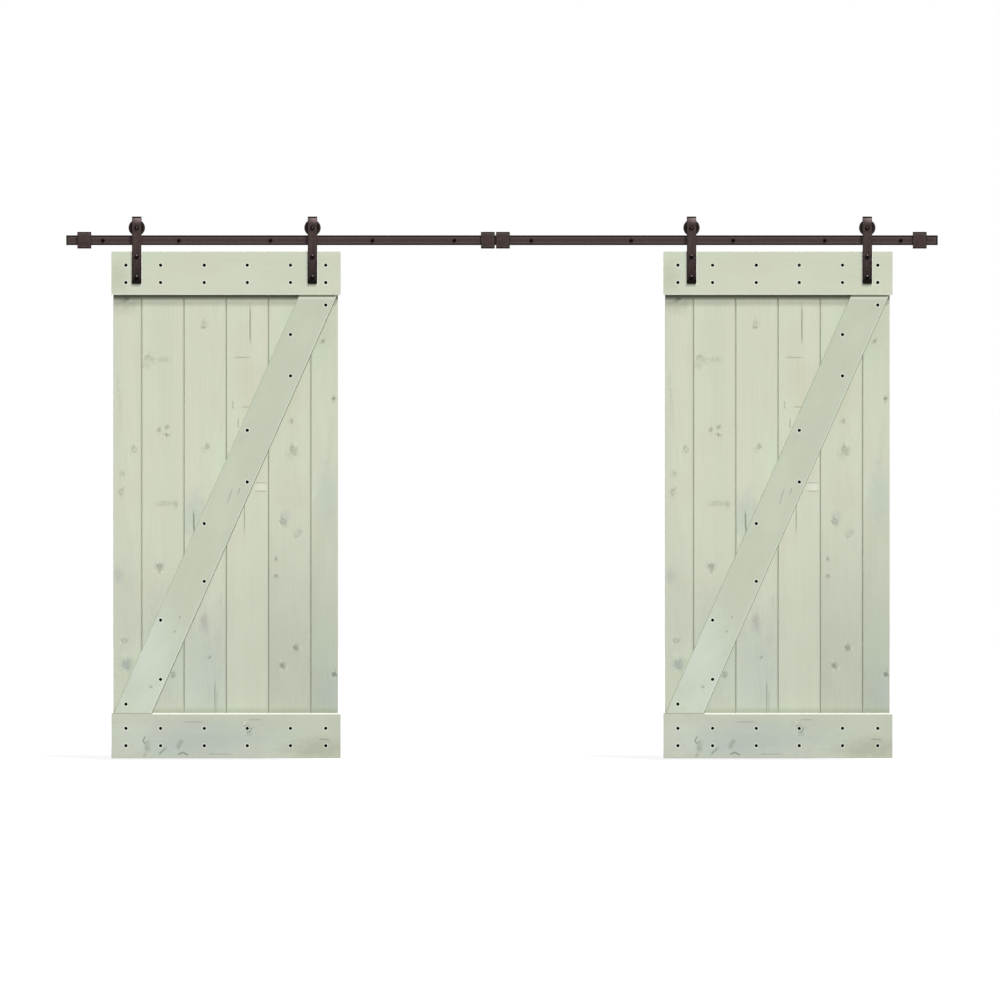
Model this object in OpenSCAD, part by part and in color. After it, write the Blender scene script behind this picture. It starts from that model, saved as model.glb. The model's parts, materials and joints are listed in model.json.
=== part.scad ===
// Double sliding barn door.
// Two Z-braced plank doors hang from bent strap hangers, whose grooved wheels
// roll on a flat bar track. The track stands on spacer tubes in front of the
// mounting plane y = 0, and its lag screws run on behind that plane.
// The origin is in the mounting plane, at the middle of the track's length and
// height. +X runs to the right, +Y into the mounting plane and +Z up.

/* [Track] */
// Length of each of the two track bars
bar_len = 1835; // [1700:1:2000]
// Height of a track bar
bar_h = 41.3; // [36:0.1:46]
// Thickness of a track bar
bar_t = 6; // [5:0.5:8]
// Chamfer along the long edges of a track bar
bar_edge = 0.8; // [0.3:0.1:1.5]
// Gap where the two bars meet
bar_gap = 0.4; // [0.2:0.1:2]
// Length of a spacer tube, from the mounting plane to the bar
spacer_len = 38; // [36:1:50]
// Outer diameter of a spacer tube
spacer_d = 22; // [18:1:28]
// Lag screw places on each bar, from its outer end
lag_from_end = [155, 475, 861, 1290]; // [120:1:1500]
// Last lag screw on the left bar, from the joint
left_lag_from_joint = 200; // [150:1:300]
// Last lag screw on the right bar, from the joint
right_lag_from_joint = 124; // [120:1:300]
// Diameter of a lag screw's plain shank
lag_d = 8; // [6:0.5:9]
// Diameter of a lag screw's threaded length
lag_thread_d = 7.4; // [5:0.1:8.5]
// Length of a lag screw behind the mounting plane
lag_grip = 54; // [40:1:80]
// Length of a lag screw's pointed tip
lag_tip = 9; // [6:1:14]
// Width across the flats of a lag screw's head
lag_head_af = 14; // [12:0.5:15]
// Height of a lag screw's domed head
lag_head_h = 5.3; // [4:0.1:5.6]
// Radius of the dome on a lag screw's head
lag_dome_r = 10; // [9.5:0.25:16]
// Diameter of a lag screw's washer
lag_washer_d = 18; // [16:1:22]
// Thickness of a lag screw's washer
lag_washer_t = 1.6; // [1:0.1:2]
// Room round a lag screw in its holes
lag_room = 0.4; // [0.2:0.1:0.8]

/* [Joiner] */
// Length of the plate behind the joint of the bars
joiner_len = 200; // [160:1:210]
// Height of the joiner plate
joiner_h = 22; // [16:1:24]
// Thickness of the joiner plate
joiner_t = 5; // [4:0.5:8]
// Places of the joiner screws on each side of the joint
joiner_screw_x = [48, 84]; // [40:1:90]
// Diameter of a joiner screw
joiner_screw_d = 6; // [5:0.5:7]
// Head diameter of a joiner screw
joiner_head_d = 10.5; // [9:0.5:13]
// Head height of a joiner screw
joiner_head_h = 3.3; // [2:0.1:5]
// How deep a joiner screw goes into the bar
joiner_bite = 4.4; // [3:0.1:4.6]
// Room round a joiner screw in its holes
joiner_room = 0.2; // [0.1:0.05:0.3]

/* [Stops] */
// Width of a stop along the track
stop_w = 58.5; // [40:0.5:70]
// How far a stop reaches above and below the bar
stop_wall = 14.35; // [10:0.05:20]
// Thickness of a stop in front of the bar
stop_front_t = 6; // [4:0.5:8]
// Thickness of the lips that hook behind the bar
stop_lip_t = 7; // [4:0.5:10]
// Height of the opening between the lips
stop_lip_gap = 26; // [25:0.5:29]
// Corner radius of a stop
stop_corner = 2.5; // [1:0.5:5]
// Room round the bar and the set screw inside a stop
stop_room = 0.2; // [0.1:0.05:0.5]
// Middle of an outer stop, from the outer end of the bar
stop_from_end = 76; // [60:1:85]
// Middle between the two inner stops, from the joint of the bars
inner_stop_x = -27.8; // [-35:0.1:35]
// Gap between the two inner stops
inner_stop_gap = 5; // [1:0.5:10]
// Diameter of a stop's set screw
set_screw_d = 6; // [5:0.5:8]
// Width of the socket in a set screw
set_socket_af = 3; // [2.5:0.5:4]
// Depth of the socket in a set screw
set_socket_depth = 4; // [2:0.5:6]

/* [Doors] */
// Width of a door, over its cross rails
door_w = 965; // [850:1:1050]
// Height of a door
door_h = 2134; // [1900:1:2400]
// Gap between the bar and the top of a door
door_drop = 26.65; // [20:0.05:40]
// Outer hanger's middle, from the outer stop, with the door at rest
park_gap = 191.75; // [150:0.25:240]
// Thickness of the planks
plank_t = 19; // [16:0.5:21]
// Width of a full plank, from seam to seam
plank_pitch = 178; // [165:1:190]
// How far the cross rails reach past the planks at the left
left_overhang = 7.5; // [0:0.5:20]
// How far the cross rails reach past the planks at the right
right_overhang = 11.5; // [0:0.5:20]
// Gap at a plank seam
seam = 0.5; // [0.3:0.1:1.5]
// Size of the V chamfer at a plank seam
vee = 2.5; // [1:0.1:4]
// Chamfer on the outer edges of the outer planks
plank_edge = 1; // [0.5:0.1:2]
// Reach of a plank's tongue
tongue_l = 7.5; // [5:0.5:10]
// Thickness of a plank's tongue
tongue_t = 6; // [4:0.5:8]
// Room round a tongue in its groove
tongue_room = 0.2; // [0.1:0.05:0.4]
// Thickness of the cross rails and the brace
rail_t = 19; // [16:0.5:21]
// Height of the top cross rail
top_rail_h = 183; // [160:1:220]
// Height of the bottom cross rail
bottom_rail_h = 190; // [160:1:220]
// Width of the diagonal brace
brace_w = 145; // [110:1:170]
// Distance of the brace's corners from the planks' edges
brace_inset = 3; // [0:0.5:10]
// Radius of the eased edges on cross rails and brace
eased = 1.6; // [0.5:0.1:3]

/* [Face screws] */
// Head diameter of a face screw
screw_head_d = 10.6; // [8:0.1:12]
// Depth of a face screw's countersunk head
screw_head_h = 3.4; // [2:0.1:5]
// Shank diameter of a face screw
screw_d = 4.2; // [3:0.1:5.5]
// Length of a face screw
screw_len = 34; // [28:0.5:35]
// How far a face screw's head lies below the board's face
screw_sink = 0.3; // [0:0.1:1]
// Room round a face screw in its hole
screw_room = 0.15; // [0.05:0.05:0.4]
// Length of the cross recess in a face screw
recess_l = 5; // [3:0.1:6]
// Width of the cross recess in a face screw
recess_w = 1.3; // [0.8:0.1:2]
// Depth of the cross recess in a face screw
recess_depth = 2; // [1:0.1:2.8]
// Screw columns, from their planks' middles to the right, on planks one to six
screw_shift = [-6, -8.5, -2.5, 0.5, 4.5, 6.5]; // [-15:0.5:15]
// Screw rows of the top rail, below the top of the door
top_rows = [58, 131]; // [20:1:160]
// Screw rows of the bottom rail, above the bottom of the door
bottom_rows = [53, 126]; // [20:1:160]
// Screws on the brace above its middle line, on planks two to five
brace_up = [127.5, 119.5, 104, 97]; // [40:0.5:135]
// Screws on the brace below its middle line, on planks two to five
brace_down = [122, 124, 113.5, 77]; // [40:0.5:135]
// Top screw of the brace, below the top rail
brace_top_screw = 43; // [30:1:60]
// Bottom screw of the brace, above the bottom rail
brace_bottom_screw = 38; // [30:1:60]

/* [Hangers] */
// Width of a strap
strap_w = 40; // [34:1:48]
// Thickness of a strap
strap_t = 5; // [4:0.5:6]
// Top of a strap, above the wheel's axle
strap_rise = 47.5; // [46:0.1:60]
// How far a strap reaches down the door
strap_reach = 137; // [130:1:160]
// How far a strap's back leg reaches below the axle
back_leg_drop = 22; // [15:1:28]
// Corner radius at the lower end of a strap
strap_corner = 3; // [1:0.5:8]
// Outer hanger's middle, from the outer edge of the door
outer_inset = 106.5; // [90:0.5:112]
// Inner hanger's middle, from the inner edge of the door
inner_inset = 118.5; // [90:0.5:125]
// Strap bolt places, below the top of the door
strap_bolt_drop = [22, 109]; // [18:1:120]
// Diameter of the axle and of the strap bolts
bolt_d = 10; // [8:0.5:10]
// Room round a bolt in its holes
bolt_room = 0.2; // [0.1:0.05:0.4]
// Width across the flats of a bolt's head
bolt_head_af = 17; // [15:0.5:19]
// Height of a bolt's domed head
bolt_head_h = 7; // [5:0.5:8]
// Radius of the dome on a bolt's head
bolt_dome_r = 12.25; // [12:0.25:18]
// Width across the flats of a nut
nut_af = 16; // [14:0.5:18]
// Height of a nut
nut_h = 7; // [5:0.5:7.5]
// Room between a bolt's thread and its nut
nut_room = 0.05; // [0.02:0.01:0.1]
// Length of bolt that shows past its nut
bolt_end = 1.5; // [1:0.25:2]
// Diameter of a strap bolt's washer
washer_d = 22; // [20:0.5:26]
// Thickness of a strap bolt's washer
washer_t = 2; // [1:0.25:2.5]

/* [Wheels] */
// Outer diameter of a wheel
wheel_d = 69; // [66:0.5:74]
// Depth of the groove in a wheel
groove_depth = 3; // [2:0.25:5]
// Room between the bar and a groove's side
groove_room = 1; // [0.6:0.1:1.5]
// How much a groove's side leans outwards
groove_lean = 1.6; // [0.5:0.1:2]
// Gap between the bar and the bottom of a groove
tread_gap = 0.3; // [0.2:0.05:0.5]
// Width of a wheel over its hub
wheel_w = 20; // [18:0.5:24]
// How far the rim lies back from the hub's face
rim_back = 1.5; // [1:0.25:2]
// Chamfer on the rim's outer corners
rim_edge = 0.8; // [0.4:0.1:1.2]
// Diameter of a wheel's hub
hub_d = 52; // [48:0.5:56]
// Width of the ring sunk into a hub's face
hub_ring_w = 5; // [3:0.5:6]
// Width of the lip round that ring
hub_lip = 2.5; // [1.5:0.5:4]
// Depth of the ring sunk into a hub's face
hub_ring_depth = 1.2; // [0.5:0.1:2]
// Gap between a hub and the strap
hub_gap = 1.5; // [1:0.25:2.5]

/* [Bearings] */
// Outer diameter of a bearing
bearing_d = 30; // [28:0.5:32]
// Width of a bearing
bearing_w = 9; // [8:0.5:10]
// Width of the wheel's lip that holds a bearing
bearing_lip = 2; // [1.5:0.25:2.2]
// Room round a bearing in its seat
bearing_room = 0.05; // [0.02:0.01:0.1]
// Wall of a bearing's outer ring
shell_wall = 2.5; // [2:0.1:2.6]
// Wall of a bearing's inner ring
core_wall = 2.4; // [2:0.1:2.6]
// Thickness of a bearing's shield
shield_t = 0.6; // [0.4:0.1:0.8]
// How far a shield lies below the bearing's face
shield_sink = 0.2; // [0.1:0.05:0.3]
// Gap between a shield and the inner ring
shield_gap = 0.35; // [0.3:0.05:0.6]
// Diameter of a bearing's balls
ball_d = 5.8; // [5.6:0.1:6]
// Number of balls in a bearing
ball_count = 10; // [7:1:10]
// Room round a ball in its race
ball_room = 0.1; // [0.05:0.05:0.15]

/* [Hidden] */
$fn = 48;
HEX = 6;
LEFT = -1;
RIGHT = 1;
SIDES = [LEFT, RIGHT];
OUTER = 1;
INNER = -1;
// Allowance by which a cutting shape runs past a face
past = 1;

// Places through the thickness
bar_back = -spacer_len;
bar_mid = bar_back - bar_t / 2;
bar_front = bar_back - bar_t;
leg_in = wheel_w / 2 + hub_gap;
leg_out = leg_in + strap_t;
strap_front = bar_mid - leg_out;
strap_rear = bar_mid + leg_out;
door_front = bar_mid - leg_in;
plank_front = door_front + rail_t;
door_back = plank_front + plank_t;

// Heights
groove_r = wheel_d / 2 - groove_depth;
axle_z = bar_h / 2 + tread_gap + groove_r;
door_top = -bar_h / 2 - door_drop;

// Places along the track
stop_face = bar_len - stop_from_end - stop_w / 2;
outer_hanger = door_w / 2 - outer_inset;
inner_hanger = door_w / 2 - inner_inset;
door_middle = stop_face - park_gap - outer_hanger;
stop_step = (inner_stop_gap + stop_w) / 2;
lags = concat(
    [for (d = lag_from_end) d - bar_len],
    [-left_lag_from_joint, right_lag_from_joint],
    [for (d = lag_from_end) bar_len - d]
);

// Planks, as edges from left to right
plank_count = len(screw_shift);
inner_planks = plank_count - 2;
planks_left = left_overhang - door_w / 2;
planks_right = door_w / 2 - right_overhang;
seams = [for (i = [0:inner_planks]) (i - inner_planks / 2) * plank_pitch];
edges = concat([planks_left], seams, [planks_right]);

// Brace, as a bar that leans by brace_lean and fits between the cross rails
brace_span = planks_right - planks_left - 2 * brace_inset;
brace_rise = door_h - top_rail_h - bottom_rail_h;
brace_diagonal = norm([brace_span, brace_rise]);
brace_lean = acos(brace_w / brace_diagonal) - atan2(brace_rise, brace_span);
brace_x = (planks_left + planks_right) / 2;
brace_mid = -top_rail_h - brace_rise / 2;

// Bolts
strap_bolt_len = strap_t + rail_t + plank_t + washer_t + nut_h + bolt_end;
axle_len = 2 * leg_out + nut_h + bolt_end;
bolt_hole_d = bolt_d + 2 * bolt_room;
lag_hole_d = lag_d + 2 * lag_room;
joiner_hole_d = joiner_screw_d + 2 * joiner_room;

// Bearings
core_r = bolt_d / 2 + bearing_room + core_wall;
shell_r = bearing_d / 2 - shell_wall;
race_mid = (core_r + shell_r) / 2;

WOOD = [0.80, 0.82, 0.73];
BRONZE = [0.29, 0.25, 0.24];
DARK = [0.10, 0.09, 0.09];
BLACK = [0.05, 0.05, 0.05];
STEEL = [0.62, 0.63, 0.65];

function side_name(s) = s == LEFT ? "left" : "right";
function end_name(e) = e == OUTER ? "outer" : "inner";
function piece(s, what) = str(side_name(s), "_", what);
function plank_name(s, i) = piece(s, str("plank_", i + 1));
function end_piece(s, e, what) = piece(s, str(end_name(e), "_", what));

// Middle of a hanger, from the middle of its door
function hanger_x(s, e) = e == OUTER ? s * outer_hanger : -s * inner_hanger;

// Column of face screws on a plank
function plank_mid(i) = (edges[i] + edges[i + 1]) / 2;
function column(i) = plank_mid(i) + screw_shift[i];

// Height of the brace's middle line over a column
function brace_z(i) = brace_mid + (column(i) - brace_x) / tan(brace_lean);
function brace_rows(i) =
    i == 0 ? [bottom_rail_h + brace_bottom_screw - door_h] :
    i == plank_count - 1 ? [-top_rail_h - brace_top_screw] :
    [brace_z(i) + brace_up[i - 1], brace_z(i) - brace_down[i - 1]];
function top_heights() = [for (d = top_rows) -d];
function bottom_heights() = [for (d = bottom_rows) d - door_h];
function all_heights(i) = concat(top_heights(), brace_rows(i), bottom_heights());

ENDS = [OUTER, INNER];
TRACK_NODES = [
    "left_rail", "right_rail", "rail_joiner", "joiner_screws",
    "lag_screws", "lag_washers", "rail_spacers", "stop_set_screws"
];
DOOR_PIECES = [
    "top_rail", "bottom_rail", "brace", "face_screws",
    "bearing_cores", "bearing_balls", "axle_bolts", "axle_bushes", "axle_nuts",
    "strap_bolts", "strap_washers", "strap_nuts"
];
END_PIECES = ["stop", "strap", "wheel", "bearing"];

// Turns a shape that points up so that it points into the mounting plane
module inward() {
    rotate([-90, 0, 0])
        children();
}

// Rectangle round its middle with rounded corners
module rounded(w, h, r) {
    square([w - 2 * r, h], center = true);
    square([w, h - 2 * r], center = true);
    for (x = [-1, 1], y = [-1, 1])
        translate([x * (w / 2 - r), y * (h / 2 - r)])
            circle(r = r);
}

module hexagon(af, h) {
    cylinder(d = af / cos(180 / HEX), h = h, $fn = HEX);
}

module tube(d, bore, h) {
    difference() {
        cylinder(d = d, h = h);
        translate([0, 0, -past])
            cylinder(d = bore, h = h + 2 * past);
    }
}

// Domed hexagon head below its seat at height 0
module dome_head(af, h, dome_r) {
    translate([0, 0, -h])
        intersection() {
            hexagon(af, h);
            translate([0, 0, dome_r])
                sphere(r = dome_r);
        }
}

// Bolt that points up, with its head's seat at height 0
module dome_bolt(len) {
    cylinder(d = bolt_d, h = len);
    dome_head(bolt_head_af, bolt_head_h, bolt_dome_r);
}

module nut() {
    difference() {
        hexagon(nut_af, nut_h);
        translate([0, 0, -past])
            cylinder(d = bolt_d + 2 * nut_room, h = nut_h + 2 * past);
    }
}

// Track bar from its outer end at the left to the joint, with its lag holes at xs
module bar(x0, x1, xs) {
    color(BRONZE)
        difference() {
            translate([x0, bar_mid, 0])
                rotate([90, 0, 90])
                    linear_extrude(height = x1 - x0)
                        bar_section();
            for (x = xs)
                translate([x, bar_front - past, 0])
                    inward()
                        cylinder(d = lag_hole_d, h = bar_t + 2 * past);
            for (s = SIDES, x = joiner_screw_x)
                translate([s * x, bar_back - joiner_bite - joiner_room, 0])
                    inward()
                        cylinder(d = joiner_hole_d, h = joiner_bite + joiner_room + past);
        }
}

module bar_section() {
    y = bar_t / 2;
    z = bar_h / 2;
    c = bar_edge;
    polygon([
        [-y, c - z], [c - y, -z], [y - c, -z], [y, c - z],
        [y, z - c], [y - c, z], [c - y, z], [-y, z - c]
    ]);
}

module left_rail() {
    bar(-bar_len, -bar_gap / 2, [for (x = lags) if (x < 0) x]);
}

module right_rail() {
    bar(bar_gap / 2, bar_len, [for (x = lags) if (x > 0) x]);
}

// Plate behind the joint of the two bars
module rail_joiner() {
    color(BRONZE)
        difference() {
            translate([-joiner_len / 2, bar_back, -joiner_h / 2])
                cube([joiner_len, joiner_t, joiner_h]);
            for (s = SIDES, x = joiner_screw_x)
                translate([s * x, bar_back - past, 0])
                    inward()
                        cylinder(d = joiner_hole_d, h = joiner_t + 2 * past);
        }
}

module joiner_screws() {
    color(BLACK)
        for (s = SIDES, x = joiner_screw_x)
            translate([s * x, bar_back, 0])
                inward() {
                    translate([0, 0, -joiner_bite])
                        cylinder(d = joiner_screw_d, h = joiner_bite + joiner_t);
                    translate([0, 0, joiner_t])
                        cylinder(d1 = joiner_head_d, d2 = joiner_screw_d, h = joiner_head_h);
                }
}

// Domed head, plain shank up to the mounting plane, threaded length and point
module lag_screws() {
    shank = lag_washer_t + bar_t + spacer_len;
    color(DARK)
        for (x = lags)
            translate([x, -shank, 0])
                inward() {
                    dome_head(lag_head_af, lag_head_h, lag_dome_r);
                    cylinder(d = lag_d, h = shank);
                    translate([0, 0, shank])
                        cylinder(d = lag_thread_d, h = lag_grip - lag_tip);
                    translate([0, 0, shank + lag_grip - lag_tip])
                        cylinder(d1 = lag_thread_d, d2 = 0, h = lag_tip);
                }
}

module lag_washers() {
    color(BRONZE)
        for (x = lags)
            translate([x, bar_front - lag_washer_t, 0])
                inward()
                    tube(lag_washer_d, lag_hole_d, lag_washer_t);
}

module rail_spacers() {
    color(BRONZE)
        for (x = lags)
            translate([x, bar_back, 0])
                inward()
                    tube(spacer_d, lag_hole_d, spacer_len);
}

// Middle of a stop
function stop_x(s, e) =
    e == OUTER ? s * (bar_len - stop_from_end) : inner_stop_x + s * stop_step;

// Block that is slotted for the bar and open behind, held by a set screw from below
module stop(s, e) {
    slot_t = bar_t + 2 * stop_room;
    slot_h = bar_h + 2 * stop_room;
    front = bar_front - stop_room - stop_front_t;
    depth = stop_front_t + slot_t + stop_lip_t;
    x = stop_x(s, e);
    color(BRONZE)
        difference() {
            translate([x, front + depth, 0])
                rotate([90, 0, 0])
                    linear_extrude(height = depth)
                        rounded(stop_w, bar_h + 2 * stop_wall, stop_corner);
            translate([x - stop_w / 2 - past, bar_front - stop_room, -slot_h / 2])
                cube([stop_w + 2 * past, slot_t, slot_h]);
            translate([x - stop_w / 2 - past, bar_mid, -stop_lip_gap / 2])
                cube([stop_w + 2 * past, depth, stop_lip_gap]);
            translate([x, bar_mid, -bar_h / 2 - stop_wall - past])
                cylinder(d = set_screw_d + 2 * stop_room, h = stop_wall + past);
        }
}

module stop_set_screws() {
    len = stop_wall - stop_room;
    color(BLACK)
        for (s = SIDES, e = ENDS)
            translate([stop_x(s, e), bar_mid, -bar_h / 2 - len])
                difference() {
                    cylinder(d = set_screw_d, h = len);
                    translate([0, 0, -past])
                        hexagon(set_socket_af, set_socket_depth + past);
                }
}

// Moves a shape from the middle of a door's top edge to a door
module at_door(s) {
    translate([s * door_middle, 0, door_top])
        children();
}

// Face screw that points up, with the board's face at height 0
module face_screw() {
    difference() {
        translate([0, 0, screw_sink]) {
            cylinder(d1 = screw_head_d, d2 = screw_d, h = screw_head_h);
            cylinder(d = screw_d, h = screw_len);
        }
        for (turn = [0, 90])
            rotate(turn)
                translate([-recess_l / 2, -recess_w / 2, -past])
                    cube([recess_l, recess_w, screw_sink + recess_depth + past]);
    }
}

// Hole for a face screw, open at the board's face
module face_screw_hole() {
    wide = screw_head_d + 2 * screw_room;
    narrow = screw_d + 2 * screw_room;
    translate([0, 0, -past])
        cylinder(d = wide, h = past + screw_sink);
    translate([0, 0, screw_sink])
        cylinder(d1 = wide, d2 = narrow, h = screw_head_h);
    cylinder(d = narrow, h = screw_sink + screw_len + screw_room);
}

// Holes for the face screws of plank i at these heights
module screw_holes(i, heights) {
    for (z = heights)
        translate([column(i), door_front, z])
            inward()
                face_screw_hole();
}

// Holes for the strap bolts of a door
module strap_bolt_holes(s) {
    for (e = ENDS, d = strap_bolt_drop)
        translate([hanger_x(s, e), strap_front - past, -d])
            inward()
                cylinder(d = bolt_hole_d, h = door_back - strap_front + 2 * past);
}

// Board seen end-on, chamfered by c0 at its left edges and c1 at its right edges
module board_section(x0, x1, c0, c1) {
    polygon([
        [x0, c0], [x0 + c0, 0], [x1 - c1, 0], [x1, c1],
        [x1, plank_t - c1], [x1 - c1, plank_t], [x0 + c0, plank_t], [x0, plank_t - c0]
    ]);
}

// Plank i seen from above, with a groove at its left and a tongue at its right
module plank_section(i) {
    first = i == 0;
    last = i == plank_count - 1;
    x0 = edges[i] + (first ? 0 : seam / 2);
    x1 = edges[i + 1] - (last ? 0 : seam / 2);
    groove_t = tongue_t + 2 * tongue_room;
    difference() {
        board_section(x0, x1, first ? plank_edge : vee, last ? plank_edge : vee);
        if (!first)
            translate([x0 - past, (plank_t - groove_t) / 2])
                square([past + tongue_l + tongue_room, groove_t]);
    }
    if (!last)
        translate([x1 - tongue_l, (plank_t - tongue_t) / 2])
            square([2 * tongue_l + seam, tongue_t]);
}

module plank(s, i) {
    color(WOOD)
        at_door(s)
            difference() {
                translate([0, plank_front, -door_h])
                    linear_extrude(height = door_h)
                        plank_section(i);
                screw_holes(i, all_heights(i));
                strap_bolt_holes(s);
            }
}

// Cross rail that hangs from height z, with screws at these heights
module cross_rail(z, h, heights) {
    difference() {
        translate([-door_w / 2, door_front + rail_t / 2, z - h / 2])
            rotate([90, 0, 90])
                linear_extrude(height = door_w)
                    rounded(rail_t, h, eased);
        for (i = [0:plank_count - 1])
            screw_holes(i, heights);
        children();
    }
}

module top_rail(s) {
    color(WOOD)
        at_door(s)
            cross_rail(0, top_rail_h, top_heights())
                strap_bolt_holes(s);
}

module bottom_rail(s) {
    color(WOOD)
        at_door(s)
            cross_rail(bottom_rail_h - door_h, bottom_rail_h, bottom_heights());
}

// Diagonal board from the lower left to the upper right, cut level at both ends
module brace(s) {
    color(WOOD)
        at_door(s)
            difference() {
                intersection() {
                    translate([brace_x, door_front + rail_t / 2, brace_mid])
                        rotate([0, brace_lean, 0])
                            linear_extrude(height = 2 * brace_diagonal, center = true)
                                rounded(brace_w, rail_t, eased);
                    translate([-door_w / 2, door_front - past, brace_mid - brace_rise / 2])
                        cube([door_w, rail_t + 2 * past, brace_rise]);
                }
                for (i = [0:plank_count - 1])
                    screw_holes(i, brace_rows(i));
            }
}

module face_screws(s) {
    color(BLACK)
        at_door(s)
            for (i = [0:plank_count - 1], z = all_heights(i))
                translate([column(i), door_front, z])
                    inward()
                        face_screw();
}

// Moves a shape from the axle's middle, with the axle along +Z, to a hanger
module at_axle(s, e) {
    translate([s * door_middle + hanger_x(s, e), bar_mid, axle_z])
        inward()
            children();
}

// Both hangers of a door
module at_axles(s) {
    for (e = ENDS)
        at_axle(s, e)
            children();
}

// Bent strip seen from its edge, round the axle's middle
module strap_section() {
    low = axle_z - door_top + strap_reach;
    bend = strap_rise - leg_out;
    difference() {
        union() {
            translate([0, bend])
                circle(r = leg_out);
            translate([-leg_out, -low])
                square([2 * leg_out, low + bend]);
        }
        translate([0, bend])
            circle(r = leg_in);
        translate([-leg_in, -low - past])
            square([2 * leg_in, low + bend + past]);
        translate([0, -low - past])
            square([leg_out + past, low + past - back_leg_drop]);
    }
}

// Strap seen from the front, with rounded lower corners
module strap_front_view() {
    low = axle_z - door_top + strap_reach;
    translate([0, (strap_rise + past - low) / 2])
        rounded(strap_w, low + strap_rise + past, strap_corner);
    translate([-strap_w / 2, 0])
        square([strap_w, strap_rise + past]);
}

module strap(s, e) {
    x = s * door_middle + hanger_x(s, e);
    color(BRONZE)
        difference() {
            translate([x, bar_mid, axle_z])
                intersection() {
                    rotate([90, 0, 90])
                        linear_extrude(height = strap_w, center = true)
                            strap_section();
                    rotate([90, 0, 0])
                        linear_extrude(height = 2 * leg_out + 2 * past, center = true)
                            strap_front_view();
                }
            translate([x, strap_front - past, axle_z])
                inward()
                    cylinder(d = bolt_hole_d, h = 2 * leg_out + 2 * past);
            at_door(s)
                strap_bolt_holes(s);
        }
}

// Half of a wheel's section: x is the radius and y runs along the axle
module wheel_section() {
    r = wheel_d / 2;
    rim = wheel_w / 2 - rim_back;
    floor_half = bar_t / 2 + groove_room;
    top_half = floor_half + groove_lean;
    ring_r = hub_d / 2 - hub_lip;
    difference() {
        union() {
            translate([0, -wheel_w / 2])
                square([hub_d / 2, wheel_w]);
            polygon([
                [0, -rim], [r - rim_edge, -rim], [r, rim_edge - rim], [r, -top_half],
                [groove_r, -floor_half], [groove_r, floor_half],
                [r, top_half], [r, rim - rim_edge], [r - rim_edge, rim], [0, rim]
            ]);
        }
        translate([-past, -bearing_w / 2 - bearing_room])
            square([past + bearing_d / 2 + bearing_room, bearing_w + 2 * bearing_room]);
        translate([-past, -wheel_w / 2 - past])
            square([past + bearing_d / 2 - bearing_lip, wheel_w + 2 * past]);
        for (y = [-wheel_w / 2 - past, wheel_w / 2 - hub_ring_depth])
            translate([ring_r - hub_ring_w, y])
                square([hub_ring_w, hub_ring_depth + past]);
    }
}

module wheel(s, e) {
    color(DARK)
        at_axle(s, e)
            rotate_extrude()
                wheel_section();
}

// Outer ring of a bearing with a shield on each side
module bearing(s, e) {
    shield_r = core_r + shield_gap;
    shield_y = bearing_w / 2 - shield_sink - shield_t;
    color(STEEL)
        at_axle(s, e)
            rotate_extrude()
                difference() {
                    union() {
                        translate([shell_r, -bearing_w / 2])
                            square([shell_wall, bearing_w]);
                        for (y = [-shield_y - shield_t, shield_y])
                            translate([shield_r, y])
                                square([shell_r + past - shield_r, shield_t]);
                    }
                    translate([race_mid, 0])
                        circle(d = ball_d + 2 * ball_room);
                }
}

module bearing_cores(s) {
    color(STEEL)
        at_axles(s)
            rotate_extrude()
                difference() {
                    translate([core_r - core_wall, -bearing_w / 2])
                        square([core_wall, bearing_w]);
                    translate([race_mid, 0])
                        circle(d = ball_d + 2 * ball_room);
                }
}

module bearing_balls(s) {
    color(STEEL)
        at_axles(s)
            for (i = [0:ball_count - 1])
                rotate(i * 360 / ball_count)
                    translate([race_mid, 0, 0])
                        sphere(d = ball_d);
}

module axle_bolts(s) {
    color(BRONZE)
        at_axles(s)
            translate([0, 0, -leg_out])
                dome_bolt(axle_len);
}

// Bushes between the strap's legs and the bearing's inner ring
module axle_bushes(s) {
    color(STEEL)
        at_axles(s)
            for (z = [-leg_in, bearing_w / 2])
                translate([0, 0, z])
                    tube(2 * core_r, bolt_hole_d, leg_in - bearing_w / 2);
}

module axle_nuts(s) {
    color(DARK)
        at_axles(s)
            translate([0, 0, leg_out])
                nut();
}

// Moves a shape from the middle of a hole at height 0 to each strap bolt of a door
module at_strap_bolts(s, y) {
    at_door(s)
        for (e = ENDS, d = strap_bolt_drop)
            translate([hanger_x(s, e), y, -d])
                inward()
                    children();
}

module strap_bolts(s) {
    color(BRONZE)
        at_strap_bolts(s, strap_front)
            dome_bolt(strap_bolt_len);
}

module strap_washers(s) {
    color(DARK)
        at_strap_bolts(s, door_back)
            tube(washer_d, bolt_hole_d, washer_t);
}

module strap_nuts(s) {
    color(DARK)
        at_strap_bolts(s, door_back + washer_t)
            nut();
}

left_rail();
right_rail();
rail_joiner();
joiner_screws();
lag_screws();
lag_washers();
rail_spacers();
stop_set_screws();
for (s = SIDES) {
    for (i = [0:plank_count - 1]) {
        plank(s, i);
    }
    top_rail(s);
    bottom_rail(s);
    brace(s);
    face_screws(s);
    bearing_cores(s);
    bearing_balls(s);
    axle_bolts(s);
    axle_bushes(s);
    axle_nuts(s);
    strap_bolts(s);
    strap_washers(s);
    strap_nuts(s);
    for (e = ENDS) {
        stop(s, e);
        strap(s, e);
        wheel(s, e);
        bearing(s, e);
    }
}
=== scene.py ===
# %% [markdown]
# # A double sliding barn door
# Two plank doors, each stiffened by boards in the shape of a Z, hang from bent strap hangers. Grooved
# wheels carry the hangers along one long flat bar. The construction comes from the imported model, which
# stays as it is. This lesson gives every surface its finish, models the bent, forged and turned things
# again with their true edges and threads, and sets up a plain studio for the picture.

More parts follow.
